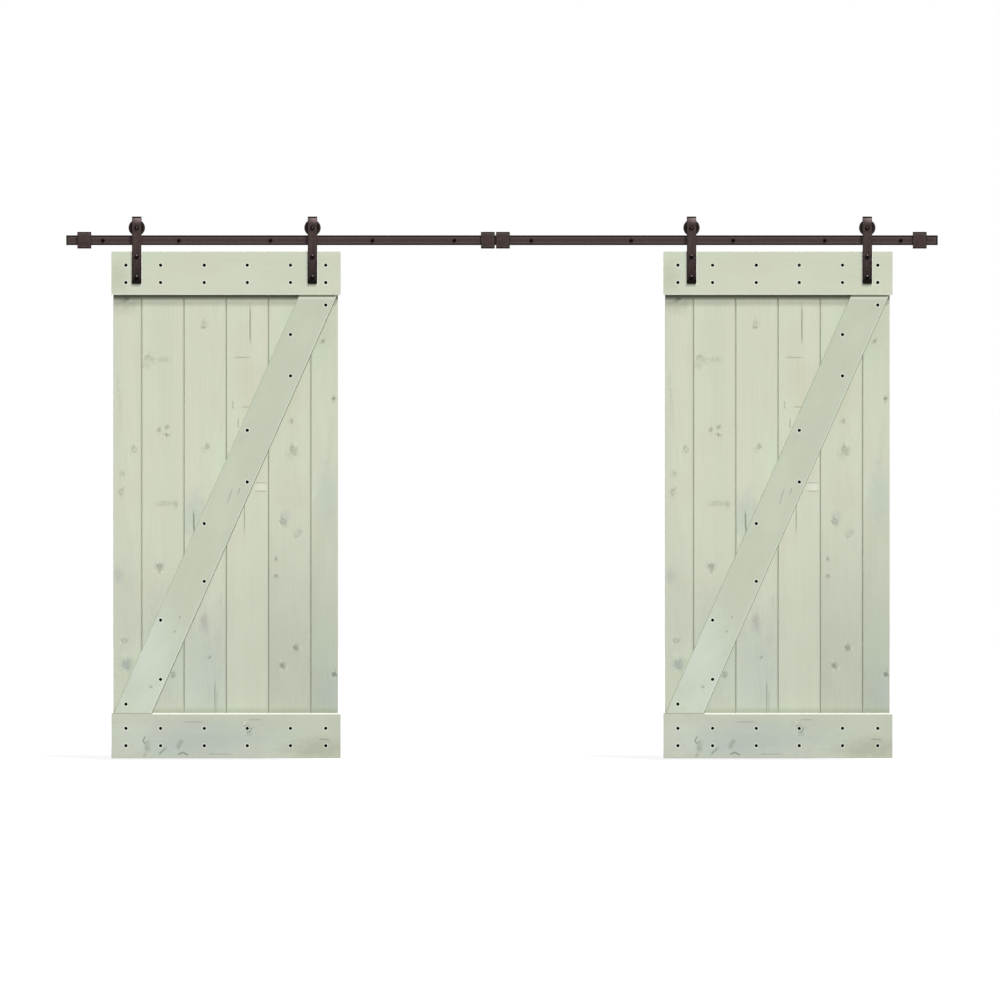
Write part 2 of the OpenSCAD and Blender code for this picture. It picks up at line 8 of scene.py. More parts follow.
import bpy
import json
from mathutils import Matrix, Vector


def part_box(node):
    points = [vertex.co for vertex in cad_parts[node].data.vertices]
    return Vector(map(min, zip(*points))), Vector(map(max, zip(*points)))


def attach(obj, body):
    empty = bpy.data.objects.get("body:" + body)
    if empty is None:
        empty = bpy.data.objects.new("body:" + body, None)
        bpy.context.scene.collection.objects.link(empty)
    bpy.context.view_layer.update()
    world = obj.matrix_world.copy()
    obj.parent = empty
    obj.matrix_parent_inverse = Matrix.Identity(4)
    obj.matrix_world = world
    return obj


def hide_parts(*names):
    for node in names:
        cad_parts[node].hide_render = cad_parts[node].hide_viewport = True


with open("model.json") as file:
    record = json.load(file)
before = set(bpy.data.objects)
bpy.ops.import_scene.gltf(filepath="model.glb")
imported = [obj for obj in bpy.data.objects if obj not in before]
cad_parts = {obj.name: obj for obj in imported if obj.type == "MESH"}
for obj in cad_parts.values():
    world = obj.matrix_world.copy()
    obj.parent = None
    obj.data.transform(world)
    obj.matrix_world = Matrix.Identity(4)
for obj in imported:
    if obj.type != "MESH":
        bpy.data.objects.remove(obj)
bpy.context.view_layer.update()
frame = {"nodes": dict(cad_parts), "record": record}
nodes = frame["nodes"]
print("packed nodes:", len(nodes))

# %% [markdown]
# ## Measures
# Places could be typed in, but then they would go wrong as soon as the model changed. Here they follow
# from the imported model, so the first step is to read a few boxes: the track bar, a door's boards, a strap
# and a wheel. Lengths that a maker would read off a drawing are written in millimetres.

# %% Measures
import json
import math
from collections import namedtuple

import bmesh
import bpy
from mathutils import Vector

MM = 0.001
SIDES = ("left", "right")
ENDS = ("outer", "inner")


def mid_x(node):
    low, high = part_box(node)
    return (low.x + high.x) / 2


bar_low, bar_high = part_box("left_rail")
bar_mid = (bar_low.y + bar_high.y) / 2
bar_half = bar_high.z
bar_end = -bar_low.x
top_low, top_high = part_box("left_top_rail")
bottom_low, bottom_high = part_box("left_bottom_rail")
door_middle = -mid_x("left_top_rail")
door_top = top_high.z
door_bottom = bottom_low.z
door_front = top_low.y
door_height = door_top - door_bottom
top_edge = door_top - top_low.z
bottom_edge = door_top - bottom_high.z
strap_low, strap_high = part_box("left_outer_strap")
strap_half = (strap_high.x - strap_low.x) / 2
wheel_low, wheel_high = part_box("left_outer_wheel")
axle_z = (wheel_low.z + wheel_high.z) / 2
outer_hanger = -mid_x("left_outer_strap") - door_middle
inner_hanger = door_middle + mid_x("left_inner_strap")
print("door", round(top_high.x - top_low.x, 3), "by", round(door_height, 3), "m")

# %% [markdown]
# ## Camera
# The photograph was taken square-on from a long way back. The width of a pixel at the doors' front, and
# the pixel where the middle of the track lies, fix the camera: it stands level, and its lens is worked
# out from its distance. A camera without perspective would come close too, but would hide every ledge.

# %% Camera
PICTURE_SIDE = 1000
PIXEL = 4.21 * MM
TRACK_PIXEL_X = 502.0
TRACK_PIXEL_Y = 240.15
CAMERA_AWAY = 40.0
SENSOR = 36.0

aim_x = (PICTURE_SIDE / 2 - TRACK_PIXEL_X) * PIXEL
aim_z = (TRACK_PIXEL_Y - PICTURE_SIDE / 2) * PIXEL
bpy.ops.object.select_all(action="DESELECT")
bpy.ops.object.camera_add(
    location=(aim_x, door_front - CAMERA_AWAY, aim_z), rotation=(math.radians(90), 0, 0)
)
camera = bpy.context.object
camera.data.sensor_width = SENSOR
camera.data.lens = SENSOR * CAMERA_AWAY / (PICTURE_SIDE * PIXEL)
bpy.context.scene.camera = camera
print("lens", round(camera.data.lens, 1), "mm")

# %% [markdown]
# ## Wires between shader nodes
# A finish is a chain of shader nodes, and most of them do plain sums. Placed one by one, even a short sum
# takes many lines. Here a small class stands for the wire that leaves a node, and adding or multiplying
# wires places the Math node for it, so that a formula reads as a formula.

# %% Wires
class Wire:
    """What a node puts out. Arithmetic on wires adds Math nodes to the tree that they lie in."""

    def __init__(self, socket):
        self.socket = socket
        self.tree = socket.id_data

    def feed(self, socket):
        self.tree.links.new(self.socket, socket)

    def __add__(self, other):
        return calc("ADD", self, other)

    def __sub__(self, other):
        return calc("SUBTRACT", self, other)

    def __rsub__(self, other):
        return calc("SUBTRACT", other, self)

    def __mul__(self, other):
        return calc("MULTIPLY", self, other)

    def __truediv__(self, other):
        return calc("DIVIDE", self, other)

    def __abs__(self):
        return calc("ABSOLUTE", self)


def tree_of(*values):
    """The node tree of the first wire among some values."""
    return next(value.tree for value in values if isinstance(value, Wire))


def fill(node, inputs):
    """Links each named input to a wire, or sets it to a value."""
    for key, value in inputs.items():
        if isinstance(value, Wire):
            value.feed(node.inputs[key])
        else:
            node.inputs[key].default_value = value


def add_node(tree, kind, inputs=None, **settings):
    made = tree.nodes.new("ShaderNode" + kind)
    for name, value in settings.items():
        setattr(made, name, value)
    fill(made, inputs or {})
    return made


def calc(operation, *values):
    made = add_node(tree_of(*values), "Math", dict(enumerate(values)), operation=operation)
    return Wire(made.outputs[0])


print("wires ready")

# %% [markdown]
# ## Small helpers for shader nodes
# These functions place the nodes that sums can't stand for: a smooth step from one level to another, a
# mix of two colours, a point made of three numbers or taken apart into them, a distance, a noise and a
# bump.

# %% Node helpers
Point = namedtuple("Point", "x y z")


def ramp(value, start, end, low=0.0, high=1.0):
    """Smooth step from low to high while value goes from start to end."""
    levels = {"Value": value, "From Min": start, "From Max": end, "To Min": low, "To Max": high}
    return Wire(add_node(value.tree, "MapRange", levels, interpolation_type="SMOOTHSTEP").outputs[0])


def larger(first, second):
    return calc("MAXIMUM", first, second)


def length(first, second):
    """The long side of a right-angled triangle."""
    return calc("SQRT", calc("POWER", first, 2.0) + calc("POWER", second, 2.0))


def mix(factor, first, second, mode="MIX"):
    tree = tree_of(factor, first, second)
    colours = {0: factor, 6: first, 7: second}
    return Wire(add_node(tree, "Mix", colours, data_type="RGBA", blend_type=mode).outputs[2])


def point_at(x, y, z):
    return Wire(add_node(tree_of(x, y, z), "CombineXYZ", {"X": x, "Y": y, "Z": z}).outputs[0])


def split(vector):
    made = add_node(vector.tree, "SeparateXYZ", {0: vector})
    return Point(*(Wire(socket) for socket in made.outputs))


def nearest(spot, places, furthest):
    """Distance of a spot from the nearest place, or furthest where that is less."""
    for place in places:
        made = add_node(spot.tree, "VectorMath", {0: spot, 1: place}, operation="DISTANCE")
        furthest = calc("MINIMUM", furthest, Wire(made.outputs["Value"]))
    return furthest


def noise(vector, scale, detail=2.0, seed=0.0):
    levels = {"Vector": vector, "W": seed, "Scale": scale, "Detail": detail}
    return Wire(add_node(vector.tree, "TexNoise", levels, noise_dimensions="4D").outputs["Fac"])


def bumped(height, strength, depth):
    """The normal of a surface that a height makes uneven."""
    levels = {"Strength": strength, "Distance": depth, "Height": height}
    return Wire(add_node(height.tree, "Bump", levels).outputs[0])


print("node helpers ready")

# %% [markdown]
# ## Groups and materials
# An effect that several finishes share is built once as a node group with named inputs and outputs, and
# then placed in each material with its own values. Copying the nodes would do too, but a change would
# then have to be made in every copy. Colours are written as on a paint chart.

# %% Groups and materials
def start_group(name, inputs, outputs):
    """A new node group: returns it, the wires of its inputs and a function that sets an output."""
    tree = bpy.data.node_groups.new(name, "ShaderNodeTree")
    for label in inputs:
        kind = "NodeSocketVector" if label == "Position" else "NodeSocketFloat"
        tree.interface.new_socket(label, in_out="INPUT", socket_type=kind)
    for label in outputs:
        tree.interface.new_socket(label, in_out="OUTPUT", socket_type="NodeSocketFloat")
    given = tree.nodes.new("NodeGroupInput").outputs
    result = tree.nodes.new("NodeGroupOutput").inputs
    wires = {label: Wire(given[label]) for label in inputs}
    return tree, wires, lambda label, wire: wire.feed(result[label])


def use_group(group, inputs):
    """Places a group where its wires come from: returns the wires of its outputs."""
    placed = add_node(tree_of(*inputs.values()), "Group", inputs, node_tree=group)
    return {socket.name: Wire(socket) for socket in placed.outputs}


def paint(red, green, blue):
    """A colour from 0 to 255, turned into the linear values that a shader takes."""
    def linear(level):
        part = level / 255
        return part / 12.92 if part <= 0.04045 else ((part + 0.055) / 1.055) ** 2.4
    return (linear(red), linear(green), linear(blue), 1.0)


def start_material(name):
    """A new material: returns it with its shader and the point being shaded."""
    material = bpy.data.materials.new(name)
    material.use_nodes = True
    tree = material.node_tree
    return material, tree.nodes["Principled BSDF"], Wire(add_node(tree, "TexCoord").outputs["Object"])


def wear(node, material):
    """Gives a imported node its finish."""
    mesh = nodes[node].data
    mesh.materials.clear()
    mesh.materials.append(material)


WHITE = paint(255, 255, 255)
print("groups and materials ready")

# %% [markdown]
# ## Lamps
# Two sun lamps stand for large soft lights above, to the right and in front of the doors. The lower one
# is the key light. The steeper one draws out the shadow below the top boards and brightens every upper
# edge. A third one fills in level from behind without a shadow of its own, so that the doors' backs can
# be seen. Area lamps would fall off along so wide an object, which sun lamps don't.

# %% Lamps
Lamp = namedtuple("Lamp", "shines strength degrees casts_shadow")
LAMPS = {
    "key_light": Lamp(Vector((-0.5, 1.0, -1.12)), 1.85, 11, True),
    "top_light": Lamp(Vector((-1.07, 1.0, -2.4)), 2.27, 8, True),
    "back_light": Lamp(Vector((0.5, -1.0, 0.0)), 1.4, 30, False),
}

bpy.context.scene.view_settings.view_transform = "Standard"
for name, lamp in LAMPS.items():
    bpy.ops.object.light_add(type="SUN", rotation=lamp.shines.to_track_quat("-Z", "Y").to_euler())
    bpy.context.object.name = name
    sun = bpy.context.object.data
    sun.energy = lamp.strength
    sun.angle = math.radians(lamp.degrees)
    sun.use_shadow = lamp.casts_shadow
print("lamps:", ", ".join(LAMPS))

# %% [markdown]
# ## Surroundings and floor
# The world fills in from all round, and shows as white to the camera and in reflections. The floor lies
# just below the doors: to the camera it looks white too, but darkens a little in shadow, and polished
# things mirror it as grey. More light could make it white as well, but would bleach the doors.

# %% Surroundings and floor
SKY_LEVEL = 0.33
FLOOR_GAP = 10 * MM
FLOOR_SIZE = 60
FLOOR_GREY = 0.3
FLOOR_GLOW = 0.82


def rays(tree, kind):
    """1 for light rays of that kind, and 0 for others."""
    return Wire(add_node(tree, "LightPath").outputs[f"Is {kind} Ray"])


world = bpy.data.worlds.new("studio")
bpy.context.scene.world = world
world.use_nodes = True
sky = world.node_tree
seen = larger(larger(rays(sky, "Camera"), rays(sky, "Glossy")), rays(sky, "Transmission"))
fill(sky.nodes["Background"], {"Color": WHITE, "Strength": ramp(seen, 0.0, 1.0, SKY_LEVEL, 1.0)})

bpy.ops.mesh.primitive_plane_add(size=FLOOR_SIZE, location=(0, 0, door_bottom - FLOOR_GAP))
floor = bpy.context.object
floor.name = "floor"
floor_paint, shader, _ = start_material("floor_paint")
fill(shader, {
    "Base Color": (FLOOR_GREY, FLOOR_GREY, FLOOR_GREY, 1),
    "Roughness": 1.0,
    "Specular IOR Level": 0.0,
    "Emission Color": WHITE,
    "Emission Strength": rays(floor_paint.node_tree, "Camera") * FLOOR_GLOW,
})
floor.data.materials.append(floor_paint)
print("floor at", round(door_bottom - FLOOR_GAP, 4))

# %% [markdown]
# ## Where a point lies on its door
# Both doors are cut and stained alike, so one set of boards serves both. This group turns a point of the
# model into door measures: how far across from the door's middle, how far down from its top, how deep
# behind its front, and how far along and off the middle line of the brace. The brace's lean follows from
# its box and its width.

# %% Door measures
BRACE_WIDTH = 145 * MM
brace_half = BRACE_WIDTH / 2
brace_low, brace_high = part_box("left_brace")
brace_span = brace_high.x - brace_low.x
brace_rise = brace_high.z - brace_low.z
brace_corner = math.acos(BRACE_WIDTH / math.hypot(brace_span, brace_rise))
brace_lean = brace_corner - math.atan2(brace_rise, brace_span)
brace_across = mid_x("left_brace") + door_middle
brace_down = door_top - (brace_low.z + brace_high.z) / 2
brace_foot = brace_low.x + door_middle + BRACE_WIDTH / math.cos(brace_lean)


def turned(first, second, angle):
    """How far a point lies along the first axis after that has turned by an angle."""
    return first * math.cos(angle) + second * math.sin(angle)


door_place, given, result = start_group(
    "door place", ["Position"], ["Across", "Down", "Depth", "Off Brace", "Along Brace"]
)
point = split(given["Position"])
across = point.x - calc("SIGN", point.x) * door_middle
down = door_top - point.z
result("Across", across)
result("Down", down)
result("Depth", point.y - door_front)
beside = across - brace_across
below = down - brace_down
result("Off Brace", turned(beside, below, brace_lean))
result("Along Brace", turned(below, beside, -brace_lean))
print("group:", door_place.name, "brace leans", round(math.degrees(brace_lean), 1), "degrees")

# %% [markdown]
# ## Where a point lies on its hanger
# All four hangers are alike too. This group gives how far a point lies beside the middle line of the
# nearest hanger and how far above its axle, so that one finish serves every strap, wheel and bolt. Each
# piece could read its own place instead, but every copy would then need a material of its own.

# %% Hanger measures
hanger_place, given, result = start_group("hanger place", ["Position"], ["Beside", "Above"])
point = split(given["Position"])
is_outer = calc("GREATER_THAN", abs(point.x) - door_middle, 0.0)
away = is_outer * (inner_hanger + outer_hanger) + (door_middle - inner_hanger)
result("Beside", point.x - calc("SIGN", point.x) * away)
result("Above", point.z - axle_z)
print("group:", hanger_place.name)

# %% [markdown]
# ## Pine grain
# Stained pine shows soft clouds and broad bands of colour, narrower streaks and very fine fibres, all but
# the clouds drawn out along the board, and the growth rings as faint arches. Noise that is stretched
# along the board gives the first four. A wave texture could draw the rings, but they would not turn into
# arcs on a sawn end, so they are made as circles round a pith that runs at a slight slant behind the
# board.

# %% Pine grain
Pattern = namedtuple("Pattern", "across along detail seed")
GRAIN = {
    "Bands": Pattern(15, 0.7, 1.0, 0.0),
    "Cloud": Pattern(7, 4.5, 2.0, 5.0),
    "Streaks": Pattern(150, 3.0, 3.0, 7.0),
    "Fibre": Pattern(800, 13, 2.0, 13.0),
}
RINGS_A_METRE = 170
PITH_DEPTH = 60 * MM
PITH_APART = 3 * PITH_DEPTH
PITH_SLANT = 0.03
RING_BEND = 70 * MM

grain, given, result = start_group("pine grain", ["Along", "Across", "Depth", "Seed"], [*GRAIN, "Rings"])
patterns = {}
for label, (across, along, detail, seed) in GRAIN.items():
    stretched = point_at(given["Across"] * across, given["Along"] * along, given["Depth"] * across)
    patterns[label] = noise(stretched, 1.0, detail, given["Seed"] + seed)
    result(label, patterns[label])
pith_side = calc("PINGPONG", given["Across"] + patterns["Bands"] * RING_BEND, PITH_APART)
pith_away = given["Depth"] + given["Along"] * PITH_SLANT + PITH_DEPTH
turns = calc("FRACT", length(pith_side, pith_away) * RINGS_A_METRE)
result("Rings", ramp(turns, 0.2, 0.8) * ramp(turns, 0.85, 1.0, 1.0, 0.0))
print("group:", grain.name)

# %% [markdown]
# ## Knots
# Under the stain a knot is a soft grey spot or ring with ragged edges, a little taller than wide, dark on
# one side and with a pale halo on the other, and the grain flows round it. A cell texture would scatter
# knots anywhere, and these have places of their own. So the group adds one knot to the dark and pale
# marks that it is given, and pushes the grain aside, and knots are chained one after another. Heart says
# how much of a ring it is. Each knot's own tilt follows from its place.

# %% Knots
KNOT_TILT = 0.7
KNOT_TILT_TURNS = 71.0
KNOT_SEED_STEP = 37.0
KNOT_WIDE = 0.85
KNOT_TALL = 1.15
KNOT_UNEVEN = 1.7
RIM_AT = 0.8
HALO_AT = 1.6

knot, given, result = start_group(
    "knot",
    ["Across", "Down", "Dark", "Pale", "Knot Across", "Knot Down", "Size", "Heart", "Strength"],
    ["Across", "Dark", "Pale"],
)
beside = given["Across"] - given["Knot Across"]
below = given["Down"] - given["Knot Down"]
tilt = calc("SINE", given["Knot Down"] * KNOT_TILT_TURNS) * KNOT_TILT
tilt_cos, tilt_sin = calc("COSINE", tilt), calc("SINE", tilt)
wide = (beside * tilt_cos + below * tilt_sin) / (given["Size"] * KNOT_WIDE)
tall = (below * tilt_cos - beside * tilt_sin) / (given["Size"] * KNOT_TALL)
spot = point_at(wide, tall, given["Knot Down"] * KNOT_SEED_STEP)
reach = length(wide, tall) + (noise(spot, 0.8) - 0.5) * KNOT_UNEVEN
one_side = ramp(noise(spot, 0.9, 1.0, 9.0), 0.36, 0.6)
rim = ramp(abs(reach - RIM_AT), 0.0, 0.4, 1.0, 0.0) * (one_side * 0.7 + 0.3)
body = ramp(reach, 0.2, 1.2, 1.0, 0.0) * ramp(given["Heart"], 0.0, 1.0, 1.0, 0.2)
stain = ramp(reach, 0.8, 2.4, 0.3, 0.0) * one_side
ragged = ramp(noise(spot, 2.2, 2.0, 3.0), 0.3, 0.65, 0.5, 1.0)
dark = larger(larger(body, rim) * ragged, stain)
halo = ramp(abs(reach - HALO_AT), 0.0, 0.6, 0.7, 0.0) * (1.0 - one_side)
result("Dark", larger(given["Dark"], dark * given["Strength"]))
result("Pale", larger(given["Pale"], halo * given["Strength"]))
result("Across", given["Across"] - beside * ramp(reach, 0.3, 3.5, 0.8, 0.0))
print("group:", knot.name)

# %% [markdown]
# ## Cracks, scratches and smears
# Drying cracks run with the grain, saw marks and smears across it. All of them are long thin spots with
# soft ends, so one group draws them: a place, a length, a width and a lean. Broken says how much the mark
# falls into dabs. A painted image could hold them too, but would blur from near by.

# %% Cracks
CRACK_WANDER = 0.5
WANDER_SCALE = 45.0
DAB_SCALE = 120.0

crack, given, result = start_group(
    "crack",
    ["Across", "Down", "Dark", "Mid Across", "Mid Down", "Length", "Width", "Lean", "Broken", "Strength"],
    ["Dark"],
)
beside = given["Across"] - given["Mid Across"]
below = given["Down"] - given["Mid Down"]
lean_cos, lean_sin = calc("COSINE", given["Lean"]), calc("SINE", given["Lean"])
along = beside * lean_sin + below * lean_cos
aside = beside * lean_cos - below * lean_sin
route = point_at(along, given["Mid Down"], given["Mid Across"])
wander = (noise(route, WANDER_SCALE) - 0.5) * given["Width"] * CRACK_WANDER
thin = ramp(abs(aside + wander) / given["Width"], 0.1, 0.6, 1.0, 0.0)
ends = ramp(abs(along) / given["Length"], 0.2, 0.55, 1.0, 0.0)
dabs = ramp(noise(point_at(beside, below, given["Mid Down"]), DAB_SCALE, 3.0), 0.42, 0.6)
whole = (dabs - 1.0) * given["Broken"] + 1.0
result("Dark", larger(given["Dark"], thin * ends * whole * given["Strength"]))
print("group:", crack.name)

# %% [markdown]
# ## Blooms
# The stain has dried unevenly, so that some boards have a soft patch that is bluer, warmer, greyer or
# paler than the rest. A bloom is an ellipse with a wide soft edge, which noise makes uneven. Noise alone
# would make patches as well, but not where the real boards have them.

# %% Blooms
BLOOM_SCALE = 30.0

bloom, given, result = start_group(
    "bloom", ["Across", "Down", "Mid Across", "Mid Down", "Wide", "Tall", "Strength"], ["Amount"]
)
wide = (given["Across"] - given["Mid Across"]) / given["Wide"]
tall = (given["Down"] - given["Mid Down"]) / given["Tall"]
uneven = noise(point_at(given["Across"], given["Down"], given["Mid Down"]), BLOOM_SCALE, 3.0)
reach = length(wide, tall) + (uneven - 0.5)
result("Amount", ramp(reach, 0.1, 1.0, 1.0, 0.0) * given["Strength"])
print("group:", bloom.name)

# %% [markdown]
# ## The boards and their marks
# Each board of a door has its own knots, cracks and blooms, listed here as a joiner would note them: so
# many millimetres across from the door's middle and down from its top. Seeds make each board's grain its
# own, sage says how green its stain is, and shade how much greyer it grows towards the floor.

# %% Boards
Knot = namedtuple("Knot", "across down size heart strength")
Crack = namedtuple("Crack", "across down length width lean broken strength")
Bloom = namedtuple("Bloom", "across down wide tall tint strength")
Board = namedtuple("Board", "seed sage shade tone figure marks")
LEVEL = 90
BLUE = paint(186, 195, 184)
SLATE = paint(184, 192, 189)
FROST = paint(210, 218, 203)
WARM = paint(206, 203, 180)
ROSE = paint(186, 182, 170)
LEAF = paint(184, 195, 168)
OLIVE = paint(172, 177, 157)
CHALK = paint(231, 233, 218)

BOARDS = {
    "plank_1": Board(3.1, 0.40, 0.30, 0.975, 1.0, [
        Knot(-421, 200, 13, 0.2, 0.85), Bloom(-430, 215, 110, 70, OLIVE, 0.55),
        Knot(-388, 833, 11, 0.9, 0.6), Knot(-439, 937, 10, 0.8, 0.6), Knot(-441, 1012, 11, 0.9, 0.65),
        Knot(-429, 1636, 12, 0.9, 0.7), Knot(-416, 1738, 22, 0.4, 0.45),
        Bloom(-418, 1738, 34, 44, SLATE, 0.65), Bloom(-455, 1365, 34, 50, BLUE, 0.7),
        Bloom(-415, 1500, 80, 420, BLUE, 0.15), Crack(-450, 620, 260, 26, 3, 0.95, 0.14),
    ]),
    "plank_2": Board(11.7, 0.50, 0.35, 0.98, 1.0, [
        Knot(-327, 456, 19, 1.0, 0.55), Crack(-278, 456, 110, 34, LEVEL, 0.8, 0.25),
        Knot(-282, 750, 9, 0.3, 0.7), Knot(-248, 739, 9, 0.2, 0.6), Knot(-249, 772, 9, 0.2, 0.75),
        Knot(-211, 1063, 12, 0.5, 0.5), Crack(-245, 1061, 120, 30, LEVEL, 0.6, 0.3),
        Knot(-283, 1332, 15, 0.4, 0.85), Crack(-223, 1783, 34, 26, 0, 0.6, 0.7),
        Bloom(-265, 1700, 220, 420, BLUE, 0.45),
    ]),
    "plank_3": Board(23.3, 0.40, 0.45, 1.01, 1.0, [
        Knot(-94, 308, 13, 0.8, 0.6), Knot(-80, 821, 10, 0.3, 0.6), Knot(-92, 836, 9, 0.9, 0.4),
        Crack(-136, 1140, 110, 9, 2, 0.2, 0.85), Bloom(-140, 1110, 90, 170, BLUE, 0.6),
        Bloom(-90, 1577, 34, 66, ROSE, 0.8), Crack(-94, 1555, 60, 26, 12, 0.6, 0.25),
        Knot(-72, 1711, 8, 0.2, 0.6), Crack(-21, 1467, 60, 4, 0, 0.2, 0.35),
        Crack(-47, 1880, 160, 7, 0, 0.2, 0.6), Crack(-38, 1900, 120, 6, 1, 0.4, 0.4),
        Bloom(-85, 1780, 220, 420, BLUE, 0.6),
    ]),
    "plank_4": Board(31.9, 0.30, 0.40, 0.99, 1.0, [
        Crack(101, 307, 190, 7, 0, 0.15, 0.8), Crack(68, 446, 84, 7, LEVEL, 0.4, 0.55),
        Crack(84, 655, 44, 7, LEVEL, 0.4, 0.5), Crack(28, 646, 40, 7, 0, 0.3, 0.5),
        Crack(51, 724, 50, 7, 0, 0.3, 0.55), Crack(147, 974, 60, 6, LEVEL, 0.3, 0.5),
        Crack(147, 1010, 60, 6, LEVEL, 0.3, 0.5), Crack(77, 1120, 150, 6, 0, 0.3, 0.65),
        Bloom(147, 991, 44, 28, CHALK, 0.6), Bloom(80, 500, 80, 260, WARM, 0.4),
    ]),
    "plank_5": Board(47.3, 0.30, 0.75, 0.98, 1.0, [
        Knot(283, 838, 17, 0.5, 0.65), Crack(266, 856, 60, 30, 30, 0.8, 0.25),
        Knot(276, 714, 9, 0.3, 0.5), Knot(240, 1137, 13, 0.5, 0.7), Knot(301, 1188, 15, 0.6, 0.4),
        Bloom(250, 1118, 30, 44, SLATE, 0.6), Knot(209, 1295, 8, 0.2, 0.65),
        Knot(211, 1366, 8, 0.2, 0.65), Knot(293, 1669, 12, 0.4, 0.85), Knot(239, 1745, 12, 0.3, 0.9),
        Bloom(265, 600, 80, 300, WARM, 0.45), Bloom(265, 1000, 80, 260, WARM, 0.25),
    ]),
    "plank_6": Board(59.7, 0.50, 0.95, 0.975, 1.0, [
        Knot(408, 377, 9, 0.2, 0.7), Knot(453, 621, 8, 0.1, 1.0), Knot(456, 1779, 11, 0.0, 1.0),
        Crack(440, 800, 300, 30, -3, 0.95, 0.14), Bloom(430, 1030, 70, 200, BLUE, 0.5),
        Bloom(440, 1850, 70, 130, SLATE, 0.4), Bloom(400, 330, 120, 260, LEAF, 0.25),
    ]),
    "top_rail": Board(67.1, 0.45, 0.0, 0.98, 0.6, [
        Bloom(-150, 70, 220, 60, WARM, 0.3), Bloom(-455, 120, 60, 110, LEAF, 0.45),
        Bloom(300, 90, 300, 110, LEAF, 0.15),
    ]),
    "bottom_rail": Board(73.9, 0.60, 0.45, 0.95, 0.7, [
        Crack(-345, 2051, 30, 6, -30, 0.1, 0.9), Crack(-346, 2066, 26, 6, 28, 0.1, 0.9),
        Crack(-331, 2083, 64, 32, 0, 0.5, 0.45), Crack(-342, 2119, 28, 16, -20, 0.5, 0.4),
        Crack(-194, 2075, 54, 24, -27, 0.5, 0.5), Crack(-268, 2103, 56, 11, -45, 0.4, 0.65),
        Crack(-190, 2113, 32, 9, -67, 0.1, 0.8), Crack(-172, 2114, 34, 9, 63, 0.1, 0.8),
        Crack(412, 2054, 52, 6, LEVEL, 0.2, 0.75), Crack(-135, 1981, 96, 6, LEVEL, 0.3, 0.45),
        Crack(122, 1972, 64, 6, LEVEL, 0.3, 0.45), Crack(-30, 2117, 120, 10, LEVEL, 0.7, 0.45),
        Bloom(-120, 2060, 520, 130, SLATE, 0.6), Bloom(-250, 2090, 150, 60, SLATE, 0.35),
        Bloom(-400, 2040, 150, 110, FROST, 0.45), Bloom(390, 2095, 220, 70, OLIVE, 0.6),
        Knot(92, 2010, 18, 1.0, 0.7),
    ]),
    "brace": Board(83.3, 1.25, 0.0, 0.915, 0.35, [
        Crack(16, 1031, 85, 6, -18, 0.3, 0.5), Crack(54, 1009, 36, 6, -18, 0.3, 0.55),
        Knot(-196, 1539, 5, 0.0, 0.5), Knot(-215, 1600, 5, 0.0, 0.5), Knot(-316, 1833, 6, 0.0, 0.7),
        Bloom(-330, 1750, 230, 420, FROST, 0.9),
    ]),
}
print("boards:", len(BOARDS), "marks:", sum(len(board.marks) for board in BOARDS.values()))

# %% [markdown]
# ## Placing the marks
# A mark becomes one node group in its board's material. Blooms tint the colour one over another. Knots
# and cracks are chained, so that each adds its own to what the ones before it have darkened or paled.

# %% Placing the marks
def tinted(board, place, colour):
    """The colour with the board's blooms laid over it."""
    for mark in board.marks:
        if isinstance(mark, Bloom):
            amount = use_group(bloom, {
                "Across": place["Across"], "Down": place["Down"], "Strength": mark.strength,
                "Mid Across": mark.across * MM, "Mid Down": mark.down * MM,
                "Wide": mark.wide * MM, "Tall": mark.tall * MM,
            })["Amount"]
            colour = mix(amount, colour, mark.tint)
    return colour


def marked(board, place):
    """Chains knots and cracks: returns the across value that they bend, the dark and the pale."""
    across, dark, pale = place["Across"], 0.0, 0.0
    for mark in board.marks:
        if isinstance(mark, Knot):
            made = use_group(knot, {
                "Across": across, "Down": place["Down"], "Dark": dark, "Pale": pale,
                "Knot Across": mark.across * MM, "Knot Down": mark.down * MM, "Size": mark.size * MM,
                "Heart": mark.heart, "Strength": mark.strength,
            })
            across, dark, pale = made["Across"], made["Dark"], made["Pale"]
        elif isinstance(mark, Crack):
            dark = use_group(crack, {
                "Across": place["Across"], "Down": place["Down"], "Dark": dark,
                "Mid Across": mark.across * MM, "Mid Down": mark.down * MM,
                "Length": mark.length * MM, "Width": mark.width * MM, "Lean": math.radians(mark.lean),
                "Broken": mark.broken, "Strength": mark.strength,
            })["Dark"]
    return across, dark, pale


print("marks can be placed")

# %% [markdown]
# ## Painted shade and pooled stain
# Wet stain has pooled in the seams between planks and dried there as a soft dark line. Soft dark lines
# of painted shade lie in the corners: below the top board, beside the brace, on the planks just above
# the bottom board's ledge, along the brace's own edges and its top, and along the bottom board's top
# edge as far as the brace's foot. Real shadows give part of that, but they are thinner than the lines on
# the real door. Each function returns how dark it makes the board, from 0 to 1. On the planks' backs it
# is only in the seams, because no other board lies there.

# %% Painted shade and pooled stain
SEAM_REACH = 7 * MM
SEAM_DARK = 0.36
UNDER_RAIL = 5 * MM
UNDER_RAIL_END = 19 * MM
BESIDE_BRACE = 4 * MM
LEDGE_REACH = 32 * MM
LEDGE_DARK = 0.38
FRONT_DEPTH = 2 * MM
BRACE_RIM = 2.5 * MM
BRACE_TOP = 7 * MM
BRACE_TOP_END = 10 * MM
FOOT_LINE = 5 * MM
FOOT_SIDE = 8 * MM
FOOT_SHADE = 0.6
LEFT_AND_RIGHT_OF_BRACE = (0.12, 0.9)
LEFT_AND_RIGHT_ON_BRACE = (0.1, 0.5)
plank_low, plank_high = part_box("left_plank_3")
plank_pitch = plank_high.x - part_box("left_plank_2")[1].x
plank_front = plank_low.y - door_front + FRONT_DEPTH


def off_brace_edge(place):
    return abs(place["Off Brace"]) - brace_half


